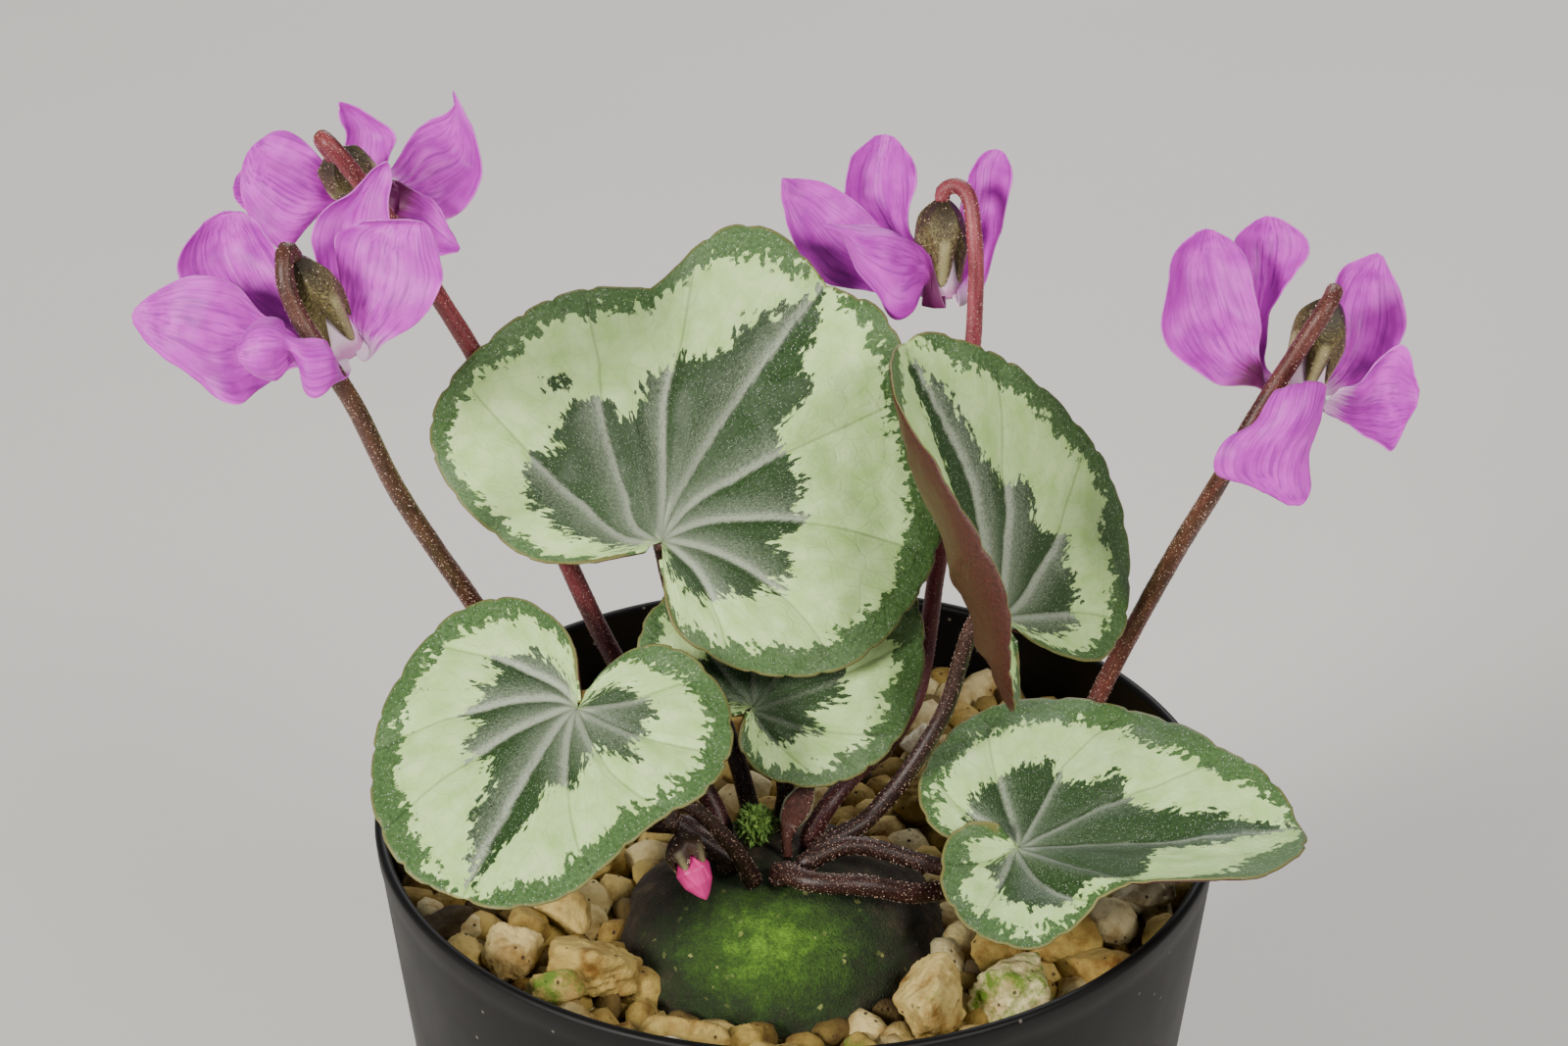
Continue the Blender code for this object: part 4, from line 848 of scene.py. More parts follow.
               [(-33, .12), (-32, .4), (-28, .6), (-25, .95)],
               [(-84, .1), (-72, .3), (-68, .5), (-62, .7), (-58, .95)],
               [(-108, .15), (-108, .5), (-112, .88)], [(20, .15), (24, .5), (28, .92)],
               [(50, .15), (55, .5), (60, .92)], [(90, .15), (95, .5), (100, .92)],
               [(130, .2), (135, .85)]],
        blots=[]),
}


def make_leaf_finish():
    """A live leaf: dark green middle and margin with a silvery band between, where air under the skin
    pales it. Their edges are ragged along the veins. Grey streaks follow the veins on one side, partly
    the leaf's own silver and partly a painted highlight where the light grazes the vein's flank; white
    gland dots are painted as glints on the wax, the rim is thin and reddish, and below it is wine."""
    material, tree, shader = new_material(
        "silver_marked_leaf", {"IOR": 1.45, "Specular IOR Level": 0.45, "Coat Weight": 0.06,
                               "Coat Roughness": 0.3})
    fan = add_node(tree, "Attribute", {"attribute_name": "fan"}).outputs["Vector"]
    zone = add_node(tree, "Attribute", {"attribute_name": "zone"}).outputs["Fac"]
    band = add_node(tree, "Attribute", {"attribute_name": "band"}).outputs["Fac"]
    edge = add_node(tree, "Attribute", {"attribute_name": "edge"}).outputs["Fac"]
    vein = add_node(tree, "Attribute", {"attribute_name": "vein"}).outputs["Fac"]
    streak = add_node(tree, "Attribute", {"attribute_name": "streak"}).outputs["Fac"]
    under = add_node(tree, "Attribute", {"attribute_name": "under"}).outputs["Fac"]
    # Ragged edges: strokes about 0.8 mm wide and four times as long, along the veins
    strokes = add_node(tree, "Mapping", {"Scale": (0.85, 0.55, 1.0)}, {"Vector": fan})
    meshes = add_node(tree, "Mapping", {"Scale": (1.7, 1.15, 1.0)}, {"Vector": fan})
    cells = add_node(tree, "TexVoronoi", {"Scale": 1.0}, {"Vector": meshes.outputs[0]})
    ragged = add_node(tree, "TexNoise", {"Scale": 1.0, "Detail": 4.0, "Roughness": 0.6},
                      {"Vector": strokes.outputs[0]})
    fine = add_node(tree, "TexNoise", {"Scale": 3.4, "Detail": 3.0, "Roughness": 0.6},
                    {"Vector": fan})
    teeth = add_node(tree, "Math", {"operation": "MULTIPLY_ADD", 1: 2.6},
                     {0: ragged.outputs["Fac"], 2: zone})
    teeth = add_node(tree, "Math", {"operation": "MULTIPLY_ADD", 1: 0.6},
                     {0: fine.outputs["Fac"], 2: teeth.outputs[0]})
    teeth = add_node(tree, "Math", {"operation": "MULTIPLY_ADD", 1: 1.5},
                     {0: cells.outputs["Color"], 2: teeth.outputs[0]})
    middle = add_node(tree, "MapRange", {"From Min": 2.24, "From Max": 2.44},
                      {"Value": teeth.outputs[0]})
    fringe = add_node(tree, "Math", {"operation": "MULTIPLY_ADD", 1: 2.8},
                      {0: ragged.outputs["Fac"], 2: band})
    fringe = add_node(tree, "Math", {"operation": "MULTIPLY_ADD", 1: 0.8},
                      {0: fine.outputs["Fac"], 2: fringe.outputs[0]})
    fringe = add_node(tree, "Math", {"operation": "MULTIPLY_ADD", 1: 2.2},
                      {0: cells.outputs["Color"], 2: fringe.outputs[0]})
    broad = add_node(tree, "TexNoise", {"Scale": 0.38, "Detail": 2.0}, {"Vector": fan})
    fringe = add_node(tree, "Math", {"operation": "MULTIPLY_ADD", 1: 4.0},
                      {0: broad.outputs["Fac"], 2: fringe.outputs[0]})
    margin = add_node(tree, "MapRange", {"From Min": 4.78, "From Max": 5.02},
                      {"Value": fringe.outputs[0]})
    # The pale band: silvery green with a faint net of veins, about 2.4 mm a mesh
    net = add_node(tree, "TexVoronoi", {"feature": "DISTANCE_TO_EDGE", "Scale": 0.42},
                   {"Vector": fan})
    line = add_node(tree, "MapRange", {"From Min": 0.09, "From Max": 0.0, "To Max": 0.16},
                    {"Value": net.outputs["Distance"]})
    cloud = add_node(tree, "TexNoise", {"Scale": 0.3, "Detail": 3.0}, {"Vector": fan})
    pale = add_node(tree, "ValToRGB", {"stops": [(0.3, "#a9d078"), (0.7, "#c8e6a0")]},
                    {"Fac": cloud.outputs["Fac"]})
    pale = add_node(tree, "Mix", {"data_type": "RGBA", 7: linear("#8dab62")},
                    {0: line.outputs[0], 6: pale.outputs["Color"]})
    # The dark green, with grey silver beside each vein that fades to one side: partly the leaf's own
    # silver, partly a painted highlight where the light grazes the vein's flank
    mottle = add_node(tree, "TexNoise", {"Scale": 2.2, "Detail": 5.0, "Roughness": 0.65},
                      {"Vector": fan})
    dark = add_node(tree, "ValToRGB", {"stops": [(0.3, "#122809"), (0.72, "#325224")]},
                    {"Fac": mottle.outputs["Fac"]})
    grain = add_node(tree, "TexNoise", {"Scale": 6.0, "Detail": 2.0, "Roughness": 0.7},
                     {"Vector": fan})
    grey = add_node(tree, "Math", {"operation": "MULTIPLY"},
                    {0: mottle.outputs["Fac"], 1: grain.outputs["Fac"]})
    grey = add_node(tree, "Math", {"operation": "MULTIPLY"}, {0: streak, 1: grey.outputs[0]})
    grey = add_node(tree, "MapRange", {"From Min": 0.06, "From Max": 0.30, "To Max": 0.85},
                    {"Value": grey.outputs[0]})
    dark = add_node(tree, "Mix", {"data_type": "RGBA", 7: linear("#a5b09c")},
                    {0: grey.outputs[0], 6: dark.outputs["Color"]})
    rim_green = add_node(tree, "ValToRGB", {"stops": [(0.3, "#2c4a20"), (0.7, "#577843")]},
                         {"Fac": mottle.outputs["Fac"]})
    face = add_node(tree, "Mix", {"data_type": "RGBA"},
                    {0: margin.outputs[0], 6: pale.outputs[2], 7: rim_green.outputs["Color"]})
    face = add_node(tree, "Mix", {"data_type": "RGBA"},
                    {0: middle.outputs[0], 6: face.outputs[2], 7: dark.outputs[2]})
    # A fine dark line in each main vein
    groove = add_node(tree, "Math", {"operation": "ABSOLUTE"}, {0: vein})
    groove = add_node(tree, "MapRange", {"From Min": 0.22, "From Max": 0.04, "To Max": 0.45},
                      {"Value": groove.outputs[0]})
    face = add_node(tree, "Mix", {"data_type": "RGBA", "blend_type": "MULTIPLY",
                                  7: linear("#7d8a62")},
                    {0: groove.outputs[0], 6: face.outputs[2]})
    # Gland dots, 0.1 mm across and half a millimetre apart: partly the glands' own pale colour, partly
    # painted near-white glints of light
    glands = add_node(tree, "TexVoronoi", {"Scale": 3.6}, {"Vector": fan})
    lit = add_node(tree, "MapRange", {"From Min": 0.24, "From Max": 0.1, "To Max": 0.85},
                   {"Value": glands.outputs["Distance"]})
    some = add_node(tree, "Math", {"operation": "GREATER_THAN", 1: 0.45},
                    {0: glands.outputs["Color"]})
    dots = add_node(tree, "Math", {"operation": "MULTIPLY"}, {0: lit.outputs[0], 1: some.outputs[0]})
    face = add_node(tree, "Mix", {"data_type": "RGBA", 7: linear("#e6ecdf")},
                    {0: dots.outputs[0], 6: face.outputs[2]})
    # The thin reddish rim, and the underside
    rim = add_node(tree, "MapRange", {"From Min": 0.26, "From Max": 0.04, "To Max": 0.8},
                   {"Value": edge})
    face = add_node(tree, "Mix", {"data_type": "RGBA", 7: linear("#77703f")},
                    {0: rim.outputs[0], 6: face.outputs[2]})
    wine = add_node(tree, "ValToRGB", {"stops": [(0.3, "#2b110c"), (0.7, "#522319")]},
                    {"Fac": mottle.outputs["Fac"]})
    side = add_node(tree, "MapRange", {"From Min": 0.45, "From Max": 0.75}, {"Value": under})
    skin = add_node(tree, "Mix", {"data_type": "RGBA"},
                    {0: side.outputs[0], 6: face.outputs[2], 7: wine.outputs["Color"]})
    gloss = add_node(tree, "MapRange", {"To Min": 0.38, "To Max": 0.6},
                     {"Value": mottle.outputs["Fac"]})
    relief = add_node(tree, "Math", {"operation": "MULTIPLY_ADD", 1: 0.5},
                      {0: mottle.outputs["Fac"], 2: dots.outputs[0]})
    relief = add_node(tree, "Math", {"operation": "SUBTRACT"},
                      {0: relief.outputs[0], 1: line.outputs[0]})
    bump = add_node(tree, "Bump", {"Strength": 0.5, "Distance": 0.0003},
                    {"Height": relief.outputs[0]})
    tree.links.new(skin.outputs[2], shader.inputs["Base Color"])
    tree.links.new(gloss.outputs[0], shader.inputs["Roughness"])
    tree.links.new(bump.outputs["Normal"], shader.inputs["Normal"])
    return material


def sheet_normals(grid, wrap=False):
    """The way each place of a sheet faces, from the places beside it."""
    rows = len(grid)
    ahead = np.gradient(grid, axis=0)
    across = ((np.roll(grid, -1, 1) - np.roll(grid, 1, 1)) / 2 if wrap
              else np.gradient(grid, axis=1))
    normal = np.cross(ahead, across)
    for row in range(rows):
        if np.ptp(grid[row], axis=0).max() < 1e-6:
            beside = normal[row + 1 if row == 0 else row - 1]
            normal[row] = beside.mean(0)
    return normal / np.maximum(np.linalg.norm(normal, axis=2), 1e-12)[..., None]


def closed_sheet(name, grid, thickness, material, values, wrap=False, middle=False):
    """A thin sheet from rows of places on its upper face: the lower face lies a thickness
    below it, and a rounded edge closes it. A wrapped sheet's last column meets its first."""
    grid = np.array(grid, float)
    rows, columns = grid.shape[:2]
    normal = sheet_normals(grid, wrap)
    thick = np.broadcast_to(np.asarray(thickness, float), (rows, columns))[..., None]
    if middle:
        grid = grid + normal * thick / 2
    below = grid - normal * thick
    count = rows * columns
    faces = []
    for row in range(rows - 1):
        for column in range(columns if wrap else columns - 1):
            after = (column + 1) % columns
            a, b = row * columns + column, row * columns + after
            faces.append((a, a + columns, b + columns, b))
            faces.append((a + count, b + count, b + columns + count, a + columns + count))
    if wrap:
        loops = [[(rows - 1) * columns + c for c in range(columns)],
                 [c for c in reversed(range(columns))]]
    else:
        loops = [[r * columns for r in range(rows)]
                 + [(rows - 1) * columns + c for c in range(1, columns)]
                 + [r * columns + columns - 1 for r in range(rows - 2, -1, -1)]
                 + [c for c in range(columns - 2, 0, -1)]]
    top, low = grid.reshape(-1, 3), below.reshape(-1, 3)
    flat = normal.reshape(-1, 3)
    points = [top, low]
    sources = []
    made = 2 * count
    for loop in loops:
        loop = np.array(loop)
        way = np.roll(top[loop], -1, 0) - np.roll(top[loop], 1, 0)
        out = np.cross(way, flat[loop])
        out /= np.maximum(np.linalg.norm(out, axis=1), 1e-9)[:, None]
        bulge = thick.reshape(-1)[loop][:, None] * 0.35
        points.append((top[loop] + low[loop]) / 2 + out * bulge * (np.abs(way).max(1) > 1e-5)[:, None])
        sources.append(loop)
        size = len(loop)
        for i in range(size):
            j = (i + 1) % size
            a, b = int(loop[i]), int(loop[j])
            faces.append((b, a, made + i, made + j))
            faces.append((made + j, made + i, a + count, b + count))
        made += size
    rim = np.concatenate(sources)
    kept = {"under": np.concatenate([np.zeros(count), np.ones(count), np.full(len(rim), 0.5)])}
    for key, rows_of in values.items():
        rows_of = np.asarray(rows_of, float)
        flat_rows = rows_of.reshape(count, -1).squeeze()
        kept[key] = np.concatenate([flat_rows, flat_rows, flat_rows[rim]])
    return add_piece(name, np.vstack(points), faces, material, kept)


def hermite(a, b, slope_a, slope_b, t):
    """A smooth value between a and b that leaves and arrives at the given slopes."""
    return ((2 * t**3 - 3 * t**2 + 1) * a + (t**3 - 2 * t**2 + t) * slope_a
            + (-2 * t**3 + 3 * t**2) * b + (t**3 - t**2) * slope_b)


def outline_radius(outline, angle):
    """How far the margin lies from the stalk at an angle, on a smooth curve."""
    i = 0
    while i < len(outline) - 2 and outline[i + 1][0] < angle:
        i += 1
    last = len(outline) - 1
    before, start = outline[max(i - 1, 0)], outline[i]
    end, after = outline[i + 1], outline[min(i + 2, last)]
    span = end[0] - start[0]
    slope_start = (end[1] - before[1]) / (end[0] - before[0]) * span
    slope_end = (after[1] - start[1]) / (after[0] - start[0]) * span
    return hermite(start[1], end[1], slope_start, slope_end, (angle - start[0]) / span)


def leaf_frame(leaf):
    """The directions that a leaf is laid out on: along the midrib, to the left, and up."""
    attach = Vector(leaf["attach"])
    up = Vector(leaf["face"]).normalized()
    along = Vector(leaf["tip"]) - attach
    along = (along - up * along.dot(up)).normalized()
    return attach, along, up.cross(along), up


def near_line(flat, angles, line):
    """How far each place on the flat blade lies from a line, and on which side of it."""
    best = np.full(len(flat), 1e3)
    side = np.ones(len(flat))
    for (a, angle_a), (b, angle_b) in zip(line, line[1:]):
        way = b - a
        share = np.clip(((flat - a) @ way) / max(way @ way, 1e-9), 0, 1)
        off = flat - a - share[:, None] * way
        far = np.hypot(off[:, 0], off[:, 1]) + 1e3 * (np.abs(angles - (angle_a + angle_b) / 2) > 110)
        closer = far < best
        best[closer] = far[closer]
        side[closer] = np.sign(way[0] * off[closer, 1] - way[1] * off[closer, 0])
    return best, side


def make_leaf(name, leaf, seed):
    outline = leaf["outline"]
    first, last = outline[0][0], outline[-1][0]
    angles = np.linspace(first, last, 60)
    radii = np.array([outline_radius(outline, a) for a in angles])
    edge = np.stack([radii * np.cos(np.radians(angles)), radii * np.sin(np.radians(angles))], 1)
    length = np.hypot(*np.diff(edge, axis=0).T).sum()
    rays = int(length / 0.55)
    rings = int(radii.max() / 0.5)
    angles = np.linspace(first, last, rays + 1)
    radii = np.array([outline_radius(outline, a) for a in angles])
    edge = np.stack([radii * np.cos(np.radians(angles)), radii * np.sin(np.radians(angles))], 1)
    arc = np.concatenate([[0], np.cumsum(np.hypot(*np.diff(edge, axis=0).T))])
    notch = (0.5 + 0.5 * np.cos(2 * math.pi * arc / 4.6 + 1.3 * np.sin(arc * 0.35))) ** 8
    radii = radii - 0.34 * notch
    share = np.linspace(0, 1, rings + 1)[:, None]
    reach = share * radii[None, :]
    forward = reach * np.cos(np.radians(angles))
    sideways = reach * np.sin(np.radians(angles))
    flat = np.stack([forward.ravel(), sideways.ravel()], 1)
    all_angles = np.broadcast_to(angles, reach.shape).ravel()

    def on_blade(pairs):
        return [(np.array([math.cos(math.radians(a)), math.sin(math.radians(a))])
                 * s * outline_radius(outline, min(max(a, first), last)), a) for a, s in pairs]

    vein, streak = np.full(len(flat), 1e3), np.zeros(len(flat))
    for line in leaf["veins"]:
        fine = []
        for (a0, s0), (a1, s1) in zip(line, line[1:]):
            fine += [(a0 + (a1 - a0) * t / 4, s0 + (s1 - s0) * t / 4) for t in range(4)]
        fine.append(line[-1])
        far, side = near_line(flat, all_angles, on_blade([(line[0][0], 0.0)] + fine))
        closer = far < np.abs(vein)
        vein[closer] = (far * side)[closer]
        # The side streak: the leaf's own silver plus a painted highlight on the vein flank that the
        # light grazes, on the side the leaf's silver value picks
        glow = np.where(side * np.sign(leaf["silver"]) > 0,
                        0.72 * np.exp(-far / 3.0) + 0.6 * np.exp(-((far - 0.35) / 0.35) ** 2),
                        0.5 * np.exp(-far / 0.16))
        streak = np.maximum(streak, glow * abs(leaf["silver"]))
    vein = vein.reshape(reach.shape)
    streak = streak.reshape(reach.shape)
    centre_at = np.interp(angles, *zip(*leaf["centre"]), left=0.0, right=0.0)
    far, _ = near_line(flat, all_angles, on_blade(leaf["centre"]))
    inside = np.where(share < centre_at[None, :], 1.0, -1.0)
    zone = far.reshape(reach.shape) * inside
    for angle, out, size in leaf["blots"]:
        spot = on_blade([(angle, out)])[0][0]
        away = np.hypot(flat[:, 0] - spot[0], flat[:, 1] - spot[1]).reshape(reach.shape)
        zone = np.maximum(zone, size - away)
    band_at = np.interp(angles, *zip(*leaf["band"]))
    band = (share - band_at[None, :]) * radii[None, :]
    margin, _ = near_line(flat, all_angles, [(p, a) for p, a in zip(
        np.stack([radii * np.cos(np.radians(angles)), radii * np.sin(np.radians(angles))], 1),
        angles)][::2])
    margin = margin.reshape(reach.shape)

    side = np.where(angles >= 0, 1.0, -1.0)[None, :]
    slopes = np.array([leaf["left"] if a >= 0 else leaf["right"] for a in angles], float)
    start = np.radians(slopes[:, 0])[None, :]
    rate = (np.radians(slopes[:, 1])[None, :] - start) / leaf["half"]
    rate = np.where(np.abs(rate) < 1e-6, 1e-6, rate)
    turned_by = start + rate * np.abs(sideways)
    across = (np.sin(turned_by) - np.sin(start)) / rate
    rise = (np.cos(start) - np.cos(turned_by)) / rate
    across = np.where(np.abs(angles) > 180, -across, across)
    for middle, height, width in leaf["pleats"]:
        rise = rise + height * share**1.5 * np.exp(-((angles - middle) / width) ** 2)
    depth = np.abs(vein)
    rise = rise - (0.34 * np.exp(-(depth / 0.45) ** 2) + 0.62 * np.exp(-(depth / 2.2) ** 2)) * (
        0.3 + 0.7 * np.exp(-((share - 0.35) / 0.42) ** 2))
    quilt = np.array([noise.noise(Vector((x * 0.17, y * 0.17, seed * 5.0)))
                      + 0.35 * noise.noise(Vector((x * 0.5, y * 0.5, seed * 5.0)))
                      for x, y in flat]).reshape(reach.shape)
    rise = rise + 0.5 * quilt * np.clip(share * 2, 0, 1)
    rise = rise + 0.35 * share**5 * np.sin(arc / 3.3 + 1.2 * np.sin(arc / 9.0) + seed)[None, :]
    attach, along, left, up = (np.array(v) for v in leaf_frame(leaf))
    grid = (attach + along * forward[..., None] + left * (side * across)[..., None]
            + up * rise[..., None])
    thick = 0.28 + (LEAF_THICKNESS - 0.28) * np.clip(margin / 2.5, 0, 1) ** 0.6
    fan = np.stack([np.broadcast_to(arc, reach.shape) + 100 * seed, reach, np.zeros_like(reach)], 2)
    blade = closed_sheet(f"{name}_blade", grid, thick, LEAF_FINISH,
                         {"fan": fan, "zone": zone, "band": band, "edge": margin,
                          "vein": vein, "streak": streak})
    stands_for(blade, "leaf", name)


LEAF_FINISH = make_leaf_finish()
for number, (leaf_name, leaf_row) in enumerate(LEAVES.items()):
    make_leaf(leaf_name, leaf_row, number)


# Leaf stalks: fleshy round stems, brown purple, one under each blade. They stand on the
# tuber's crown, arch outwards, and are dusted all over with tiny glistening gland hairs.
PETIOLES = {
    "petiole_large": ("leaf_large", (-4.8, -5.4), [(-7.0, -2.4, 96.0), (-12.0, 2.8, 107.0)]),
    "petiole_left": ("leaf_left", (-7.2, -14.9), [(-12.5, -14.5, 93.8), (-19.0, -13.0, 101.5)]),
    "petiole_small": ("leaf_small", (-1.5, -7.0), [(-1.2, -6.6, 93.0), (-2.6, -5.0, 98.5)]),
    "petiole_right": ("leaf_right", (0.9, -15.9), [(6.0, -14.6, 91.0), (15.0, -15.6, 89.0)]),
    "petiole_folded": ("leaf_folded", (2.2, -13.4), [(7.8, -9.8, 91.6), (14.8, -6.4, 101.0)]),
}
PETIOLE_RADIUS = (1.0, 0.85)
PETIOLE_TURN = 3.0
STEM_COLUMNS = 20
CLEAR = 0.3


def make_stalk_finish(name, dark, light):
    """A fleshy stem: smooth skin in long soft streaks, slightly shiny. Towards the crown it darkens to
    nearly black brown, partly its own colour and partly painted shade, and it takes its own red or
    brown about 35 mm up."""
    material, tree, shader = new_material(name, {"IOR": 1.42, "Roughness": 0.42})
    along = add_node(tree, "Attribute", {"attribute_name": "along"}).outputs["Vector"]
    long = add_node(tree, "Mapping", {"Scale": (1.6, 0.22, 1.0)}, {"Vector": along})
    streaks = add_node(tree, "TexNoise", {"Scale": 1.0, "Detail": 4.0, "Roughness": 0.6},
                       {"Vector": long.outputs[0]})
    tone = add_node(tree, "ValToRGB", {"stops": [(0.3, dark), (0.7, light)]},
                    {"Fac": streaks.outputs["Fac"]})
    parts = add_node(tree, "SeparateXYZ", {}, {0: along})
    # Painted shade, with the stem's own dark colour: nearly black brown over the lowest 14 mm, fading
    # out by 42 mm
    foot = add_node(tree, "MapRange", {"From Min": 42.0, "From Max": 14.0, "To Max": 0.85},
                    {"Value": parts.outputs["Y"]})
    low = add_node(tree, "Mix", {"data_type": "RGBA", 7: linear("#1d100d")},
                   {0: foot.outputs[0], 6: tone.outputs["Color"]})
    glands = add_node(tree, "TexVoronoi", {"Scale": 5.0}, {"Vector": along})
    dot = add_node(tree, "MapRange", {"From Min": 0.3, "From Max": 0.12, "To Max": 0.45},
                   {"Value": glands.outputs["Distance"]})
    dotted = add_node(tree, "Mix", {"data_type": "RGBA", 7: linear("#b98d78")},
                      {0: dot.outputs[0], 6: low.outputs[2]})
    fine = add_node(tree, "TexNoise", {"Scale": 6.0, "Detail": 2.0}, {"Vector": along})
    rough = add_node(tree, "Math", {"operation": "ADD"},
                     {0: fine.outputs["Fac"], 1: dot.outputs[0]})
    bump = add_node(tree, "Bump", {"Strength": 0.4, "Distance": 0.0001},
                    {"Height": rough.outputs[0]})
    tree.links.new(dotted.outputs[2], shader.inputs["Base Color"])
    tree.links.new(bump.outputs["Normal"], shader.inputs["Normal"])
    return material


def make_gland_finish():
    """Gland hairs: drops of clear gum, each catching the light as a pale orange-pink dot."""
    material, tree, shader = new_material(
        "gland_hairs", {"Roughness": 0.25, "IOR": 1.4, "Coat Weight": 0.3})
    place = add_node(tree, "TexCoord").outputs["Object"]
    cloud = add_node(tree, "TexNoise", {"Scale": 2500.0}, {"Vector": place})
    tone = add_node(tree, "ValToRGB", {"stops": [(0.35, "#9a7564"), (0.65, "#dcc0ae")]},
                    {"Fac": cloud.outputs["Fac"]})
    tree.links.new(tone.outputs["Color"], shader.inputs["Base Color"])
    return material


def smooth_path(points, count):
    """Points evenly spread by parameter on a smooth curve through the given ones."""
    points = [Vector(point) for point in points]
    last = len(points) - 1
    ways = [(points[min(i + 1, last)] - points[max(i - 1, 0)]).normalized()
            for i in range(len(points))]
    path = []
    for step in range(count):
        place = step / (count - 1) * last
        i = min(int(place), last - 1)
        reach = (points[i + 1] - points[i]).length
        path.append(hermite(points[i], points[i + 1], ways[i] * reach, ways[i + 1] * reach,
                            place - i))
    return path


def evened(fine, count):
    """Points the same distance apart along a finely drawn line."""
    lengths = [0.0]
    for a, b in zip(fine, fine[1:]):
        lengths.append(lengths[-1] + (b - a).length)
    path = []
    i = 0
    for step in range(count):
        wanted = lengths[-1] * step / (count - 1)
        while i < len(fine) - 2 and lengths[i + 1] < wanted:
            i += 1
        share = (wanted - lengths[i]) / max(lengths[i + 1] - lengths[i], 1e-9)
        path.append(fine[i].lerp(fine[i + 1], min(max(share, 0.0), 1.0)))
    return path


def crown_foot(x, y):
    """Where a stem stands on the tuber's crown, clear of its slope all round."""
    around = ((x + 1, y), (x - 1, y), (x, y + 1), (x, y - 1))
    return Vector((x, y, max(tuber_height(*place) for place in around) + CLEAR))


def make_stem(name, route, radius_low, radius_high, finish, seed, swell=0.25, glands=3.6):
    """A round stem from its foot to its top, swollen at the foot, with its gland hairs."""
    fine = smooth_path(route, 24 * (len(route) - 1) + 1)
    length = sum((b - a).length for a, b in zip(fine, fine[1:]))
    count = max(int(length / 0.55), 12)
    path = evened(fine, count + 1)
    rings, along = [], []
    across = None
    for i, point in enumerate(path):
        share = i / count
        ahead = (path[min(i + 1, count)] - path[max(i - 1, 0)]).normalized()
        across = ahead.orthogonal() if across is None else across
        across = (across - ahead * across.dot(ahead)).normalized()
        over = ahead.cross(across)
        radius = radius_low + (radius_high - radius_low) * share
        radius *= 1.0 + swell * math.exp(-share * length / 1.6)
        radius *= 1.0 + 0.04 * noise.noise(Vector((share * length * 0.35, seed * 9.1, 0.0)))
        steps = [(0.0, 0.0), (0.6, 0.0), (0.92, 0.12)] if i == 0 else [(1.0, 0.0)]
        if i == count:
            steps = [(1.0, -0.3), (0.85, -0.08), (0.5, 0.0), (0.0, 0.0)]
        for scale, shift in steps:
            row, marks = [], []
            for column in range(STEM_COLUMNS):
                turn = 2 * math.pi * column / STEM_COLUMNS
                row.append(point + ahead * shift + across * (radius * scale * math.cos(turn))
                           + over * (radius * scale * math.sin(turn)))
                marks.append((math.cos(turn) * radius + seed * 20, share * length,
                              math.sin(turn) * radius))
            rings.append(row)
            along.append(marks)
    stem = add_skin(name, rings, finish, {"along": along})
    stand_out(stem, glands, 0.052, 0.075, 0.0, seed, GLAND_HAIRS)
    return stem


STALK_BROWN = make_stalk_finish("leaf_stalk_brown", "#26110f", "#4c2a25")
GLAND_HAIRS = make_gland_finish()
for number, (stalk_name, (leaf_name, base, way)) in enumerate(PETIOLES.items()):
    attach, along, left, up = leaf_frame(LEAVES[leaf_name])
    seat = attach - up * (LEAF_THICKNESS + CLEAR)
    foot = crown_foot(*base)
    route = [foot, foot + Vector((0.0, 0.0, 1.2)), *way, seat - up * PETIOLE_TURN, seat]
    stalk = make_stem(f"{stalk_name}_stalk", route, *PETIOLE_RADIUS, STALK_BROWN, number + 1)
    stands_for(stalk, "stalk", stalk_name)


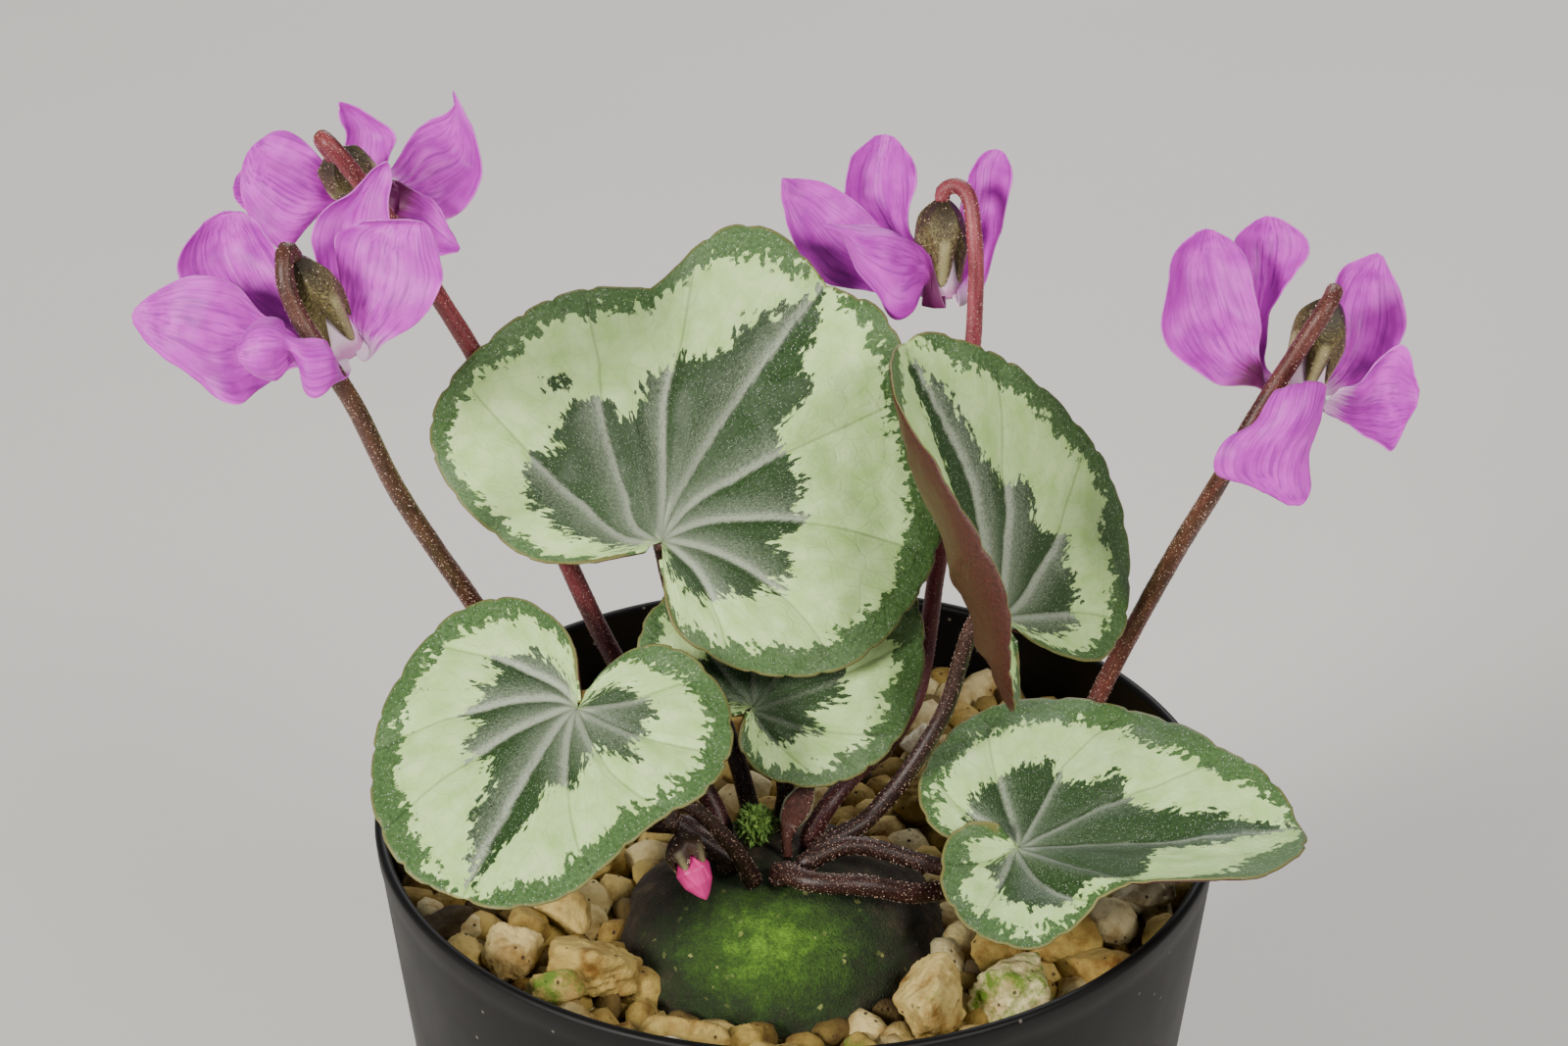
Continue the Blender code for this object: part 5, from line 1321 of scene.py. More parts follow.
# Flowers: four nodding flowers, each on its own hooked stem from the crown. Five olive sepals
# hold a short white throat, and five thin magenta petals spring from its mouth and turn back.
FACE_TILT = 30.0
FLOWER_RING = 2.35
PETAL_ROOT = 1.1
PETAL_CLEAR = 0.5
PETAL_LEAVE = 2.6
PEDICEL_RADIUS = (1.1, 0.9)
PEDICEL_CLEAR = 0.75
FLOWERS = {
    "flower_1": dict(
        mouth=(-44.4, -12.0, 147.5), hang=(0.36, -0.74, -0.56), length=11.6, foot=(-8.2, -11.6),
        way=[(-10.8, -11.2, 91.0), (-17.8, -9.0, 91.2), (-26.0, -3.0, 98.9), (-33.2, -2.0, 112.1),
             (-36.7, -7.0, 122.0), (-40.0, -12.0, 132.1), (-42.8, -17.0, 143.4)],
        hook=[(0.0, -2.9, 6.4), (-1.8, -0.1, 7.0), (-3.6, 3.0, 7.4), (-4.6, 5.6, 8.0),
              (-4.8, 7.6, 8.0), (-4.8, 9.0, 7.4)],
        petals=[
            # right front
            (24, 0, [
                ((0.8, 2.6, 1.5), (2.2, 1.6, 1), (4.2, 0.5, 1.5)),
                ((0.1, 6.1, 2), (3.7, 4.6, 2), (7.7, 2.6, 3.2)),
                ((-0.4, 8.9, 2.2), (4.4, 7.3, 2.4), (10.1, 6, 4.2)),
                ((-0.4, 10.9, 2.4), (4.7, 10.1, 2.6), (9.6, 8.7, 3.6)),
                ((1.2, 11.9, 2.6), (5.4, 11.9, 2.9), (9.1, 11.6, 3.2)),
                ((2, 12.4, 4), (5.7, 12.4, 4), (8.7, 12.4, 4))]),
            # rolled, over the stem
            (97, 0, [
                ((0.3, -3.8, 9.2), (-0.1, -1.4, 9.4), (-0.8, 0.0, 8.2)),
                ((-2.0, -5.0, 9.2), (-2.3, -1.5, 10.2), (-2.8, 0.3, 9.0)),
                ((-3.7, -1.5, 7.4), (-4.0, -0.3, 10.0), (-4, 1, 9.8)),
                ((-5.1, -3.6, 9.4), (-5.7, -0.2, 11.4), (-4.9, 2.5, 9)),
                ((-7.2, -3.7, 9.8), (-7.7, -0.4, 11.4), (-6.8, 2.8, 8.6)),
                ((-9.2, -1.6, 9), (-8.9, -0.5, 10.4), (-8.3, 1.3, 8.8))]),
            # left
            (168, 0, [
                ((-4.6, -1.9, 0.8), (-4.9, -0.2, 0.5), (-4.7, 1.4, 1)),
                ((-7.9, -3.8, 1.6), (-8.5, 0.4, 1.2), (-7.7, 3.4, 1.6)),
                ((-10.1, -5.5, 1.8), (-12.1, 0.5, 1.8), (-10.1, 6, 2.2)),
                ((-14.1, -3.3, 1.4), (-16.1, 1.9, 1.6), (-13.8, 7, 2)),
                ((-18.1, -0, 0.8), (-18.9, 2.7, 1.2), (-17.4, 6.2, 1.4)),
                ((-19.9, 1.6, 0.4), (-20.3, 3.2, 0.8), (-19.4, 5, 1))]),
            # back left
            (240, 0, [
                ((-5.7, 0.6, -0.6), (-4.7, 1.6, -1.6), (-3.5, 2.6, -2)),
                ((-10.6, 2.6, -1.6), (-8.2, 4.1, -3.2), (-5.3, 4.8, -2.4)),
                ((-14.7, 5.2, -2), (-10.9, 7.6, -4.2), (-6.3, 8.2, -2.6)),
                ((-16.3, 8.3, -1.6), (-12.1, 10.8, -4.4), (-7.4, 11.3, -2.4)),
                ((-15.5, 11.6, -2.2), (-12.1, 13.5, -3.8), (-9, 13.5, -2.6)),
                ((-13.6, 13.3, -3), (-11.7, 13.9, -3.4), (-10.1, 13.7, -3))]),
            # back right
            (312, 0, [
                ((-0.5, 3.6, -0.9), (0.7, 4.1, -1.6), (2.3, 4.6, -1.2)),
                ((-2.5, 7.8, -1.6), (0.2, 8.4, -3.2), (3.8, 8.5, -3)),
                ((-3.1, 10.9, -2), (0.1, 12.3, -4), (4.2, 12, -3.6)),
                ((-1.5, 13.9, -2.6), (1.2, 15, -4), (4.3, 15.1, -3.2)),
                ((1.7, 16.9, -3.2), (3.1, 17.7, -3.6), (4.4, 18.2, -3.2)),
                ((3.5, 18.4, -3), (4, 18.6, -3), (4.4, 18.4, -3))]),
        ]),
    "flower_2": dict(
        mouth=(-44.2, 16.0, 150.6), hang=(0.31, -0.40, -0.86), length=9.0, foot=(-8.0, -7.6),
        way=[(-9.6, -6.0, 92.0), (-14.5, -1.0, 97.0), (-19.5, 4.0, 102.7), (-24.1, 7.0, 112.1),
             (-33.0, 12.0, 133.1)],
        hook=[(7.1, -10.1, -2.0), (4.2, -5.2, 2.2), (1.2, -0.8, 6.4), (-1.6, 3.0, 10.4),
              (-3.4, 4.9, 10.8)],
        petals=[
            # right, great
            (302, 0, [
                ((2.2, 2.6, -1), (3.5, 1.1, -1.6), (5.4, -0.4, -1)),
                ((3.6, 5.7, -1.6), (6.3, 3.4, -2.8), (8.2, -2, -0.8)),
                ((6.1, 7.6, -1.6), (8.8, 4.7, -3.2), (11.6, 1.8, -1.6)),
                ((8.1, 8.9, -1.8), (9.5, 7.2, -2.2), (11.1, 6.3, -1.6)),
                ((8.7, 9.8, -1.6), (9.2, 9.2, -1.8), (10.1, 8.6, -1.2)),
                ((8.6, 10.9, -1), (8.8, 11, -1), (9.1, 10.8, -0.8))]),
            # right, low
            (14, 1, [
                ((2.4, -3.9, 1), (2.4, -1.1, 0), (2.7, 1.5, 0.6)),
                ((5.1, -4.7, 2), (5.5, -2.1, 0.8), (5.6, 0.2, 0.6)),
                ((7.6, -6.2, 2.2), (7.7, -3.9, 1.2), (7.7, -1.5, 1.2)),
                ((9.3, -6.3, 2), (9.7, -5.5, 1.8), (8.9, -4.2, 1.4))]),
            # left front
            (84, 0, [
                ((-4.8, -2.1, 2), (-2.8, -0.9, 2.5), (-2.6, 0.7, 1.6)),
                ((-7.7, -5.8, 4), (-6.5, -1, 4), (-4.5, 3.6, 3)),
                ((-10.3, -4.1, 4), (-9.5, 0.7, 3.4), (-6.5, 5.7, 3)),
                ((-12.4, -1.3, 3), (-11.6, 2.8, 2.4), (-8.8, 6.8, 2)),
                ((-12.9, 1.6, 2.6), (-12.1, 4.4, 2), (-10.3, 6.7, 1.6))]),
            # left back
            (178, 0, [
                ((-4.9, -2.3, 0), (-4.9, -1, -0.5), (-4.6, 0.5, 0)),
                ((-9, -2.4, -1), (-8.9, -0.2, -1.6), (-8.5, 2, -1)),
                ((-12.1, -1.7, -1.6), (-12.1, 1.1, -2.2), (-11.5, 3.9, -1.6)),
                ((-13.6, -1.3, -2), (-14.1, 1.1, -2.2), (-13.2, 3.7, -2))]),
            # top back
            (240, 0, [
                ((-0.8, 1.7, -1), (0.1, 2, -2), (1.2, 2.4, -1.2)),
                ((-2.6, 4.1, -1.6), (-0.2, 4.5, -3), (2.6, 4.6, -1.4)),
                ((-2.5, 6.9, -1.2), (-0.2, 6.8, -3.2), (2.4, 6.4, -1.4)),
                ((-2.8, 8.8, -1.4), (-1.3, 8.5, -2.6), (0.4, 8.6, -1.8)),
                ((-3.3, 9.7, -1.2), (-2.9, 9.8, -1.4), (-2.2, 9.7, -1.6))]),
        ]),
    "flower_3": dict(
        mouth=(14.8, 20.0, 137.5), hang=(-0.04, -0.95, -0.30), length=10.3, foot=(1.5, -10.6),
        way=[(3.4, -9.4, 92.8), (6.5, -5.4, 94.4), (9.9, 0.0, 94.6), (12.9, 4.6, 98.0),
             (14.9, 10.0, 109.7), (17.3, 14.5, 122.0)],
        hook=[(3.6, -5.3, 2.0), (3.8, 0.0, 3.6), (3.8, 2.8, 4.5), (3.6, 5.5, 5.0),
              (3.3, 8.5, 5.0), (2.8, 10.1, 4.7), (1.7, 10.9, 4.0)],
        petals=[
            # right
            (28, 0, [
                ((1.8, 2.2, 0.4), (3.4, 2.1, 0.4), (5.1, 1.3, 1.6)),
                ((1.9, 6.2, 0.4), (4.1, 5.9, -0.6), (6.3, 5.5, 1.4)),
                ((2.7, 10.1, 0), (4.9, 10.1, -1.2), (7.2, 9.3, 1)),
                ((3.1, 13, -0.6), (5.3, 13.3, -1.2), (8.1, 12.6, 1.8)),
                ((4.3, 14.9, -0.6), (6.1, 15.1, -0.4), (7.9, 14.5, 1))]),
            # front, folded
            (100, 1, [
                ((-1.7, 0.6, 3.4), (-1.5, 2.2, 3.6), (-1.3, 3.8, 3)),
                ((-4.3, -3.1, 5.4), (-4.7, 3.3, 6.8), (-4.3, 5.9, 5)),
                ((-6.8, -0.1, 5.6), (-7.6, 4.2, 7.2), (-7.2, 6.3, 5.4)),
                ((-9.6, 4.7, 5.6), (-10.2, 5.9, 6.6), (-9.9, 6.9, 5.4)),
                ((-11.9, 6.4, 5.6), (-12.1, 6.7, 5.8), (-11.8, 7.2, 5.4))]),
            # left
            (172, 0, [
                ((-3.9, -0.2, 0.4), (-3.6, 1, 0), (-3.2, 2.3, -0.4)),
                ((-7.5, 0.1, 1), (-6.8, 2.7, -0.2), (-5.1, 5.5, -0.6)),
                ((-11.6, 1, 1), (-10.3, 5, -0.4), (-7.5, 8.6, -0.6)),
                ((-14.9, 4.7, 0.6), (-13.4, 8.5, -0.8), (-10.7, 11, -1)),
                ((-16.3, 9.3, 0), (-15.6, 10.9, -0.6), (-13.7, 12.3, -1)),
                ((-16.6, 11.9, -0.2), (-16.3, 12.1, -0.4), (-15.7, 12.2, -0.6))]),
            # top back
            (244, 0, [
                ((-3.9, 3.3, -1.6), (-2.8, 3.3, -2.6), (-1.6, 3.8, -2)),
                ((-6.1, 6.6, -2), (-4.5, 6.5, -3.6), (-2.9, 6.2, -1.6)),
                ((-9.5, 9.9, -1.4), (-6.2, 10.7, -4.4), (-2.5, 10.1, 0)),
                ((-9.1, 14.1, -2), (-5.9, 14.6, -4.4), (-2.2, 13.7, -0.4)),
                ((-7.7, 16.5, -3), (-5.5, 17, -4), (-3.2, 16.3, -2))]),
            # hidden
            (316, 0, [
                ((0.6, 0.5, -3.5), (1.6, 0.8, -4.2), (2.6, 0.8, -3.6)),
                ((-1.8, 3.5, -6.8), (1.8, 3.9, -7.8), (5.2, 3.5, -6.8)),
                ((-2.2, 6.4, -9.8), (1.9, 6.9, -10.8), (5.6, 6.4, -9.8)),
                ((-0.8, 8.2, -11.8), (2, 8.7, -12.4), (4.8, 8.2, -11.8))]),
        ]),
    "flower_4": dict(
        mouth=(50.1, -5.0, 139.5), hang=(-0.26, -0.85, -0.45), length=10.3, foot=(-1.6, -17.6),
        way=[(1.4, -20.6, 90.6), (6.8, -20.8, 90.3), (13.0, -18.0, 87.4), (20.5, -10.0, 84.8),
             (27.5, -0.5, 88.5), (32.6, 5.4, 97.8), (38.7, -1.5, 117.9)],
        hook=[(-8.0, -9.1, 1.5), (-4.9, -3.4, 2.8), (-3.0, -0.2, 4.0), (-1.2, 2.8, 5.4),
              (0.2, 5.1, 6.6), (1.4, 7.0, 7.2), (2.4, 8.6, 6.6)],
        petals=[
            # right, low funnel
            (28, 0, [
                ((2.1, -2.3, 2), (2.9, -1.3, 1), (4.1, -0.1, 1.2)),
                ((4.5, -3.8, 3.2), (5.3, -2.1, 1.2), (6.2, 0.5, 1.8)),
                ((6.4, -5.1, 4), (7.5, -1.6, 0.6), (8.1, 3.2, 2.4)),
                ((8.4, -6.4, 4), (9.7, -1.6, 0.8), (10, 3.8, 3)),
                ((9.5, -5.8, 3.2), (11.4, -1.8, 1.6), (11.8, 0.8, 2.4))]),
            # front, hanging over the stem
            (92, 0, [
                ((-3.1, -0.7, 6.4), (-0.7, 0.1, 7.4), (2, 0, 5.8)),
                ((-5.2, -3.2, 6.6), (-1.8, -3.1, 8.2), (1.3, -2.5, 6.6)),
                ((-8.2, -5.8, 6.2), (-3.7, -6.1, 7.8), (0.4, -5.8, 6)),
                ((-8.7, -8.6, 5.2), (-4.2, -8.8, 6.8), (0.5, -9.3, 5.6)),
                ((-6, -9.8, 4.8), (-1.9, -11.9, 6.2), (0.6, -11.9, 5))]),
            # left
            (172, 1, [
                ((-4.6, 0.1, 0.6), (-4.2, 1, 0.4), (-3.7, 1.8, 0.2)),
                ((-8.4, 0.4, 1.6), (-6.8, 2.9, 0.4), (-4.1, 3.5, 0.6)),
                ((-12.1, 2.5, 1.6), (-8.8, 6.7, -0.8), (-4.1, 6.2, 0.6)),
                ((-13.7, 7.2, 1.6), (-10, 10.5, -0.8), (-4.7, 11.1, 0.6)),
                ((-12.9, 12.9, 1), (-9.9, 13.9, -0.6), (-6.2, 14.3, 0)),
                ((-11.1, 15.3, 0.6), (-9.3, 15.8, 0), (-7.4, 15.5, 0.2))]),
            # top, on a long claw
            (244, 0, [
                ((-4.1, 0.3, -1.6), (-3.5, 1, -2), (-2.9, 1.8, -1.6)),
                ((-4.4, 3.8, -2), (-3.7, 4.2, -2.4), (-3.1, 4.5, -2)),
                ((-4.5, 7.2, -2.4), (-3.7, 7.5, -3), (-2.8, 7.9, -2.2)),
                ((-5.5, 12, -2.4), (-3.1, 11.6, -4.4), (-0.5, 11.1, -1.2)),
                ((-6.3, 14.7, -2.4), (-2.9, 15, -4.4), (0.9, 14.4, -0.8)),
                ((-5.2, 16.6, -3), (-2.9, 17.5, -3.6), (-0.6, 17.1, -2))]),
            # right, upright
            (316, 0, [
                ((2.9, 1.8, -1.6), (3.7, 0.9, -1.6), (5, -0.2, -0.6)),
                ((3.2, 5.6, -2), (5.6, 3.9, -3.2), (8.2, 1.3, -1)),
                ((3, 8.8, -2), (6.4, 7.8, -3.8), (10.8, 5.5, -1.4)),
                ((4.2, 11.8, -2), (7, 10.9, -3.2), (10.5, 9.3, -2)),
                ((6.6, 13.1, -2.2), (8.1, 13.6, -2.2), (9.2, 13.2, -2))]),
        ]),
}


def make_petal_finish():
    """A live petal: thin and silky. Bright magenta pink with fine darker veins that fan out along it,
    a dark blotch by the mouth, a whitish claw, and a thin pale edge, painted light shining through the
    thin margin."""
    material, tree, shader = new_material(
        "magenta_petal", {"IOR": 1.38, "Roughness": 0.5, "Sheen Weight": 0.08,
                          "Sheen Roughness": 0.4, "Subsurface Weight": 0.25,
                          "Subsurface Radius": (1.0, 0.35, 0.9), "Subsurface Scale": 0.0006})
    spot = add_node(tree, "Attribute", {"attribute_name": "spot"}).outputs["Vector"]
    parts = add_node(tree, "SeparateXYZ", {}, {0: spot})
    fans = add_node(tree, "Mapping", {"Scale": (4.6, 0.09, 1.0)}, {"Vector": spot})
    veins = add_node(tree, "TexNoise", {"Scale": 1.0, "Detail": 3.0, "Roughness": 0.5,
                                        "Distortion": 0.12},
                     {"Vector": fans.outputs[0]})
    line = add_node(tree, "MapRange", {"From Min": 0.47, "From Max": 0.68, "To Max": 0.7},
                    {"Value": veins.outputs["Fac"]})
    cloud = add_node(tree, "TexNoise", {"Scale": 0.35, "Detail": 3.0}, {"Vector": spot})
    body = add_node(tree, "ValToRGB", {"stops": [(0.3, "#ab1cae"), (0.7, "#d243d2")]},
                    {"Fac": cloud.outputs["Fac"]})
    veined = add_node(tree, "Mix", {"data_type": "RGBA", 7: linear("#861a90")},
                      {0: line.outputs[0], 6: body.outputs["Color"]})
    wild = add_node(tree, "Math", {"operation": "MULTIPLY_ADD", 1: 3.2},
                    {0: veins.outputs["Fac"], 2: parts.outputs["Y"]})
    white = add_node(tree, "MapRange", {"From Min": 5.6, "From Max": 2.8},
                     {"Value": wild.outputs[0]})
    claw = add_node(tree, "Mix", {"data_type": "RGBA", 7: linear("#ecd6e8")},
                    {0: white.outputs[0], 6: veined.outputs[2]})
    stain = add_node(tree, "Attribute", {"attribute_name": "stain"}).outputs["Fac"]
    blotch = add_node(tree, "MapRange", {"From Min": 7.5, "From Max": 5.5},
                      {"Value": wild.outputs[0]})
    blotch = add_node(tree, "Math", {"operation": "MULTIPLY"},
                      {0: blotch.outputs[0], 1: stain})
    stained = add_node(tree, "Mix", {"data_type": "RGBA", 7: linear("#5e0d4c")},
                       {0: blotch.outputs[0], 6: claw.outputs[2]})
    # Painted light: a thin pale edge, standing for light shining through the thin margin
    rim = add_node(tree, "MapRange", {"From Min": 0.12, "From Max": 0.03, "To Max": 0.18},
                   {"Value": parts.outputs["Z"]})
    edged = add_node(tree, "Mix", {"data_type": "RGBA", 7: linear("#f0b6ee")},
                     {0: rim.outputs[0], 6: stained.outputs[2]})
    bump = add_node(tree, "Bump", {"Strength": 0.35, "Distance": 0.00012},
                    {"Height": veins.outputs["Fac"]})
    tree.links.new(edged.outputs[2], shader.inputs["Base Color"])
    tree.links.new(bump.outputs["Normal"], shader.inputs["Normal"])
    return material


def make_sepal_finish(name, tones):
    """Young sepals: olive brown skin crowded with dark specks and pale gland dots, and a
    paler line down the middle of each."""
    material, tree, shader = new_material(name, {"IOR": 1.42, "Roughness": 0.5})
    spot = add_node(tree, "Attribute", {"attribute_name": "spot"}).outputs["Vector"]
    parts = add_node(tree, "SeparateXYZ", {}, {0: spot})
    specks = add_node(tree, "TexNoise", {"Scale": 5.5, "Detail": 3.0, "Roughness": 0.6},
                      {"Vector": spot})
    tone = add_node(tree, "ValToRGB", {"stops": list(zip((0.36, 0.5, 0.66), tones))},
                    {"Fac": specks.outputs["Fac"]})
    line = add_node(tree, "MapRange", {"From Min": 0.8, "From Max": 1.0, "To Max": 0.6},
                    {"Value": parts.outputs["Z"]})
    lined = add_node(tree, "Mix", {"data_type": "RGBA", 7: linear("#a8a376")},
                     {0: line.outputs[0], 6: tone.outputs["Color"]})
    # Painted shade: the sepals darken towards the stem end
    low = add_node(tree, "MapRange", {"From Min": 4.6, "From Max": 1.2, "To Max": 0.85},
                   {"Value": parts.outputs["Y"]})
    shaded = add_node(tree, "Mix", {"data_type": "RGBA", 7: linear("#20150e")},
                      {0: low.outputs[0], 6: lined.outputs[2]})
    bump = add_node(tree, "Bump", {"Strength": 0.4, "Distance": 0.00012},
                    {"Height": specks.outputs["Fac"]})
    tree.links.new(shaded.outputs[2], shader.inputs["Base Color"])
    tree.links.new(bump.outputs["Normal"], shader.inputs["Normal"])
    return material


def make_throat_finish():
    """The flower's tube: waxy white flesh, flushed pink towards the mouth and stained dark
    magenta at its very lip."""
    material, tree, shader = new_material("white_throat", {"IOR": 1.4, "Roughness": 0.45})
    spot = add_node(tree, "Attribute", {"attribute_name": "spot"}).outputs["Vector"]
    parts = add_node(tree, "SeparateXYZ", {}, {0: spot})
    cloud = add_node(tree, "TexNoise", {"Scale": 1.6, "Detail": 3.0}, {"Vector": spot})
    reach = add_node(tree, "Math", {"operation": "MULTIPLY_ADD", 1: 0.12},
                     {0: cloud.outputs["Fac"], 2: parts.outputs["Y"]})
    tone = add_node(tree, "ValToRGB", {"stops": [(0.0, "#d9dfc0"), (0.55, "#efe6ea"),
                                                 (0.9, "#e8cfe2"), (1.0, "#c987bb")]},
                    {"Fac": reach.outputs[0]})
    tree.links.new(tone.outputs["Color"], shader.inputs["Base Color"])
    return material


def face_vector(across, up, towards):
    """A direction on the flowers' leaning frame, in the part's own frame."""
    lean = math.radians(FACE_TILT)
    return Vector((across,
                   up * math.sin(lean) - towards * math.cos(lean),
                   up * math.cos(lean) + towards * math.sin(lean)))


def flower_frame(flower):
    """The mouth, the way the flower hangs, and two directions across its mouth."""
    mouth = Vector(flower["mouth"])
    hang = face_vector(*flower["hang"]).normalized()
    right = Vector((1.0, 0.0, 0.0))
    right = (right - hang * right.dot(hang)).normalized()
    return mouth, hang, right, hang.cross(right)


def make_petal(name, node, flower, petal, seed):
    """A petal drawn through rows of three places each: its left edge, middle and right edge.
    Two short rows at the mouth make its claw, and its tip is rounded off."""
    stations, lanes, round_from = 72, 40, 0.80
    root_bearing, stain, rows = petal
    mouth, hang, right, front = flower_frame(flower)
    angle = math.radians(root_bearing)
    outward = right * math.cos(angle) + front * math.sin(angle)
    places = [[mouth + face_vector(*place) for place in row] for row in rows]
    across = hang.cross(outward).normalized()
    if across.dot(places[0][2] - places[0][0]) < 0:
        across = -across
    root = mouth + outward * (FLOWER_RING - 0.1) - hang * 0.2
    leave = mouth + outward * (FLOWER_RING + 0.7) + hang * 0.7
    places = [[root + across * (PETAL_ROOT * side) for side in (-1, 0, 1)],
              [leave + across * (PETAL_ROOT * 1.1 * side) for side in (-1, 0, 1)]] + places
    edges = [np.array([tuple(p) for p in smooth_path([row[i] for row in places], stations + 1)])
             for i in range(3)]
    middle_steps = np.linalg.norm(np.diff(edges[1], axis=0), axis=1)
    travelled = np.concatenate([[0], np.cumsum(middle_steps)])
    share = (travelled / travelled[-1])[:, None]
    off = np.linspace(-1, 1, lanes + 1)[None, :]
    late = np.clip((share - round_from) / (1 - round_from), 0, 1)
    off = off * np.maximum(1 - late ** 2.4, 0.0) ** (1 / 2.4)
    left, middle, right_edge = (edge[:, None, :] for edge in edges)
    grid = (middle + off[..., None] * (right_edge - left) / 2
            + off[..., None] ** 2 * ((left + right_edge) / 2 - middle))
    wide = np.linalg.norm(edges[2] - edges[0], axis=1)[:, None] / 2
    normal = sheet_normals(grid)
    shift = Vector((seed * 3.7, seed * 1.9, 0.0))
    soft = np.array([[noise.noise(Vector(p) * 0.22 + shift) for p in row] for row in grid])
    fine = np.array([[noise.noise(Vector(p) * 0.6 + shift) for p in row] for row in grid])
    held = np.clip(share * 5 - 0.6, 0, 1)
    frill = np.abs(off) ** 5 * np.sin(share * 15.0 + seed + 2.1 * (off > 0)) * 0.3
    keel = -0.22 * np.exp(-(off / 0.09) ** 2) * np.clip(1.1 - share, 0, 1)
    lift = held * (0.55 * soft + 0.16 * fine + frill + keel)
    grid = grid + normal * lift[..., None]
    side_gap = wide * (1 - np.abs(off) / np.maximum(np.abs(off).max(1, keepdims=True), 1e-6))
    near_edge = np.minimum(side_gap, travelled[-1] * (1 - share)) + 0.02
    spots = np.stack([off * (1.6 + 2.6 * share) + 30 * seed,
                      np.broadcast_to(share * travelled[-1], near_edge.shape), near_edge], 2)
    thick = 0.13 + 0.20 * np.clip(near_edge / 1.6, 0, 1) * (1.0 + 1.2 * np.exp(-5 * share))
    blade = closed_sheet(name, grid, thick, PETAL_MAGENTA,
                         {"spot": spots, "stain": np.full(near_edge.shape, float(stain))},
                         middle=True)
    stands_for(blade, "petal", node)


def turned_about(start, hang, profile, columns, bulge=lambda turn, share: 1.0):
    """Rings about a leaning axis from (radius, distance) pairs, and their marks."""
    turn_to = hang.to_track_quat("Z", "Y").to_matrix()
    grid, marks = [], []
    far = profile[-1][1]
    for radius, distance in profile:
        row, marked = [], []
        for column in range(columns):
            turn = -2 * math.pi * column / columns
            wide = radius * bulge(turn, distance / far)
            row.append(start + turn_to @ Vector((wide * math.cos(turn), wide * math.sin(turn),
                                                 distance)))
            marked.append((math.cos(turn) * 2.0, distance / far, math.sin(turn) * 2.0))
        grid.append(row)
        marks.append(marked)
    return grid, marks


def make_sepals(name, node, start, hang, length, width, seed, finish):
    """Five pointed sepals, joined in a cup round the stem's end."""
    rings, columns = 30, 120
    turn_to = hang.to_track_quat("Z", "Y").to_matrix()
    grid, marks = [], []
    for ring in range(rings + 1):
        share = ring / rings
        swell = math.sin(min(share / 0.6, 1.0) * math.pi / 2) ** 0.7
        swell *= 1.0 - 0.14 * max(share - 0.6, 0.0) / 0.4
        row, marked = [], []
        for column in range(columns):
            turn = -2 * math.pi * column / columns
            keel = abs(math.cos(2.5 * turn))
            point = 0.62 + 0.38 * keel ** 1.1
            radius = width * swell * (1.0 + 0.05 * keel**3) * (1.0 - 0.05 * share**4)
            radius += 0.10 * share * (1.0 - keel) * -1.0
            rough = 0.05 * noise.noise(Vector((turn * 3.0, share * 6.0, seed * 3.0)))
            local = Vector(((radius + rough) * math.cos(turn), (radius + rough) * math.sin(turn),
                            length * share * point))
            row.append(start + turn_to @ local)
            marked.append((math.cos(turn) * 2.4 + seed * 10, share * length,
                           keel * min(1.0, 2 * share)))
        grid.append(row)
        marks.append(marked)
    cup = closed_sheet(name, grid, 0.3, finish, {"spot": marks}, wrap=True)
    stand_out(cup, 1.5, 0.07, 0.07, 0.0, seed, GLAND_HAIRS)
    stands_for(cup, "sepal", node)


def make_throat(name, node, start, hang, length, seed):
    """The tube, open at its five-angled mouth, with the style in the middle."""
    outer = [(0.0, 2.0), (0.5, 2.02), (0.9, 2.15), (1.3, 2.8), (1.6, 4.0),
             (1.85, 0.62 * length), (2.05, 0.8 * length), (2.25, 0.92 * length),
             (FLOWER_RING + 0.12, length)]
    radii = [r for r, _ in outer]
    heights = [h for _, h in outer]
    fine = [(float(np.interp(h, heights, radii)), h)
            for h in np.concatenate([[2.0, 2.05], np.linspace(2.2, length, 26)])]
    fine[0] = (0.0, 2.0)
    grid, marks = turned_about(start, hang, fine, 60,
                               lambda turn, share: 1.0 + 0.035 * share * math.cos(5 * turn))
    tube = closed_sheet(name, grid, 0.3, THROAT_WHITE, {"spot": marks}, wrap=True)
    style = [(0.0, 2.6), (0.22, 2.6), (0.2, length - 1.5), (0.3, length + 0.3), (0.0, length + 0.5)]
    rod_grid, rod_marks = turned_about(start, hang, style, 12)
    rod = add_skin(f"{name}_style", [row[::-1] for row in rod_grid], THROAT_WHITE,
                   {"spot": [row[::-1] for row in rod_marks]})
    with bpy.context.temp_override(active_object=tube, selected_editable_objects=[tube, rod]):
        bpy.ops.object.join()
    stands_for(tube, "throat", node)


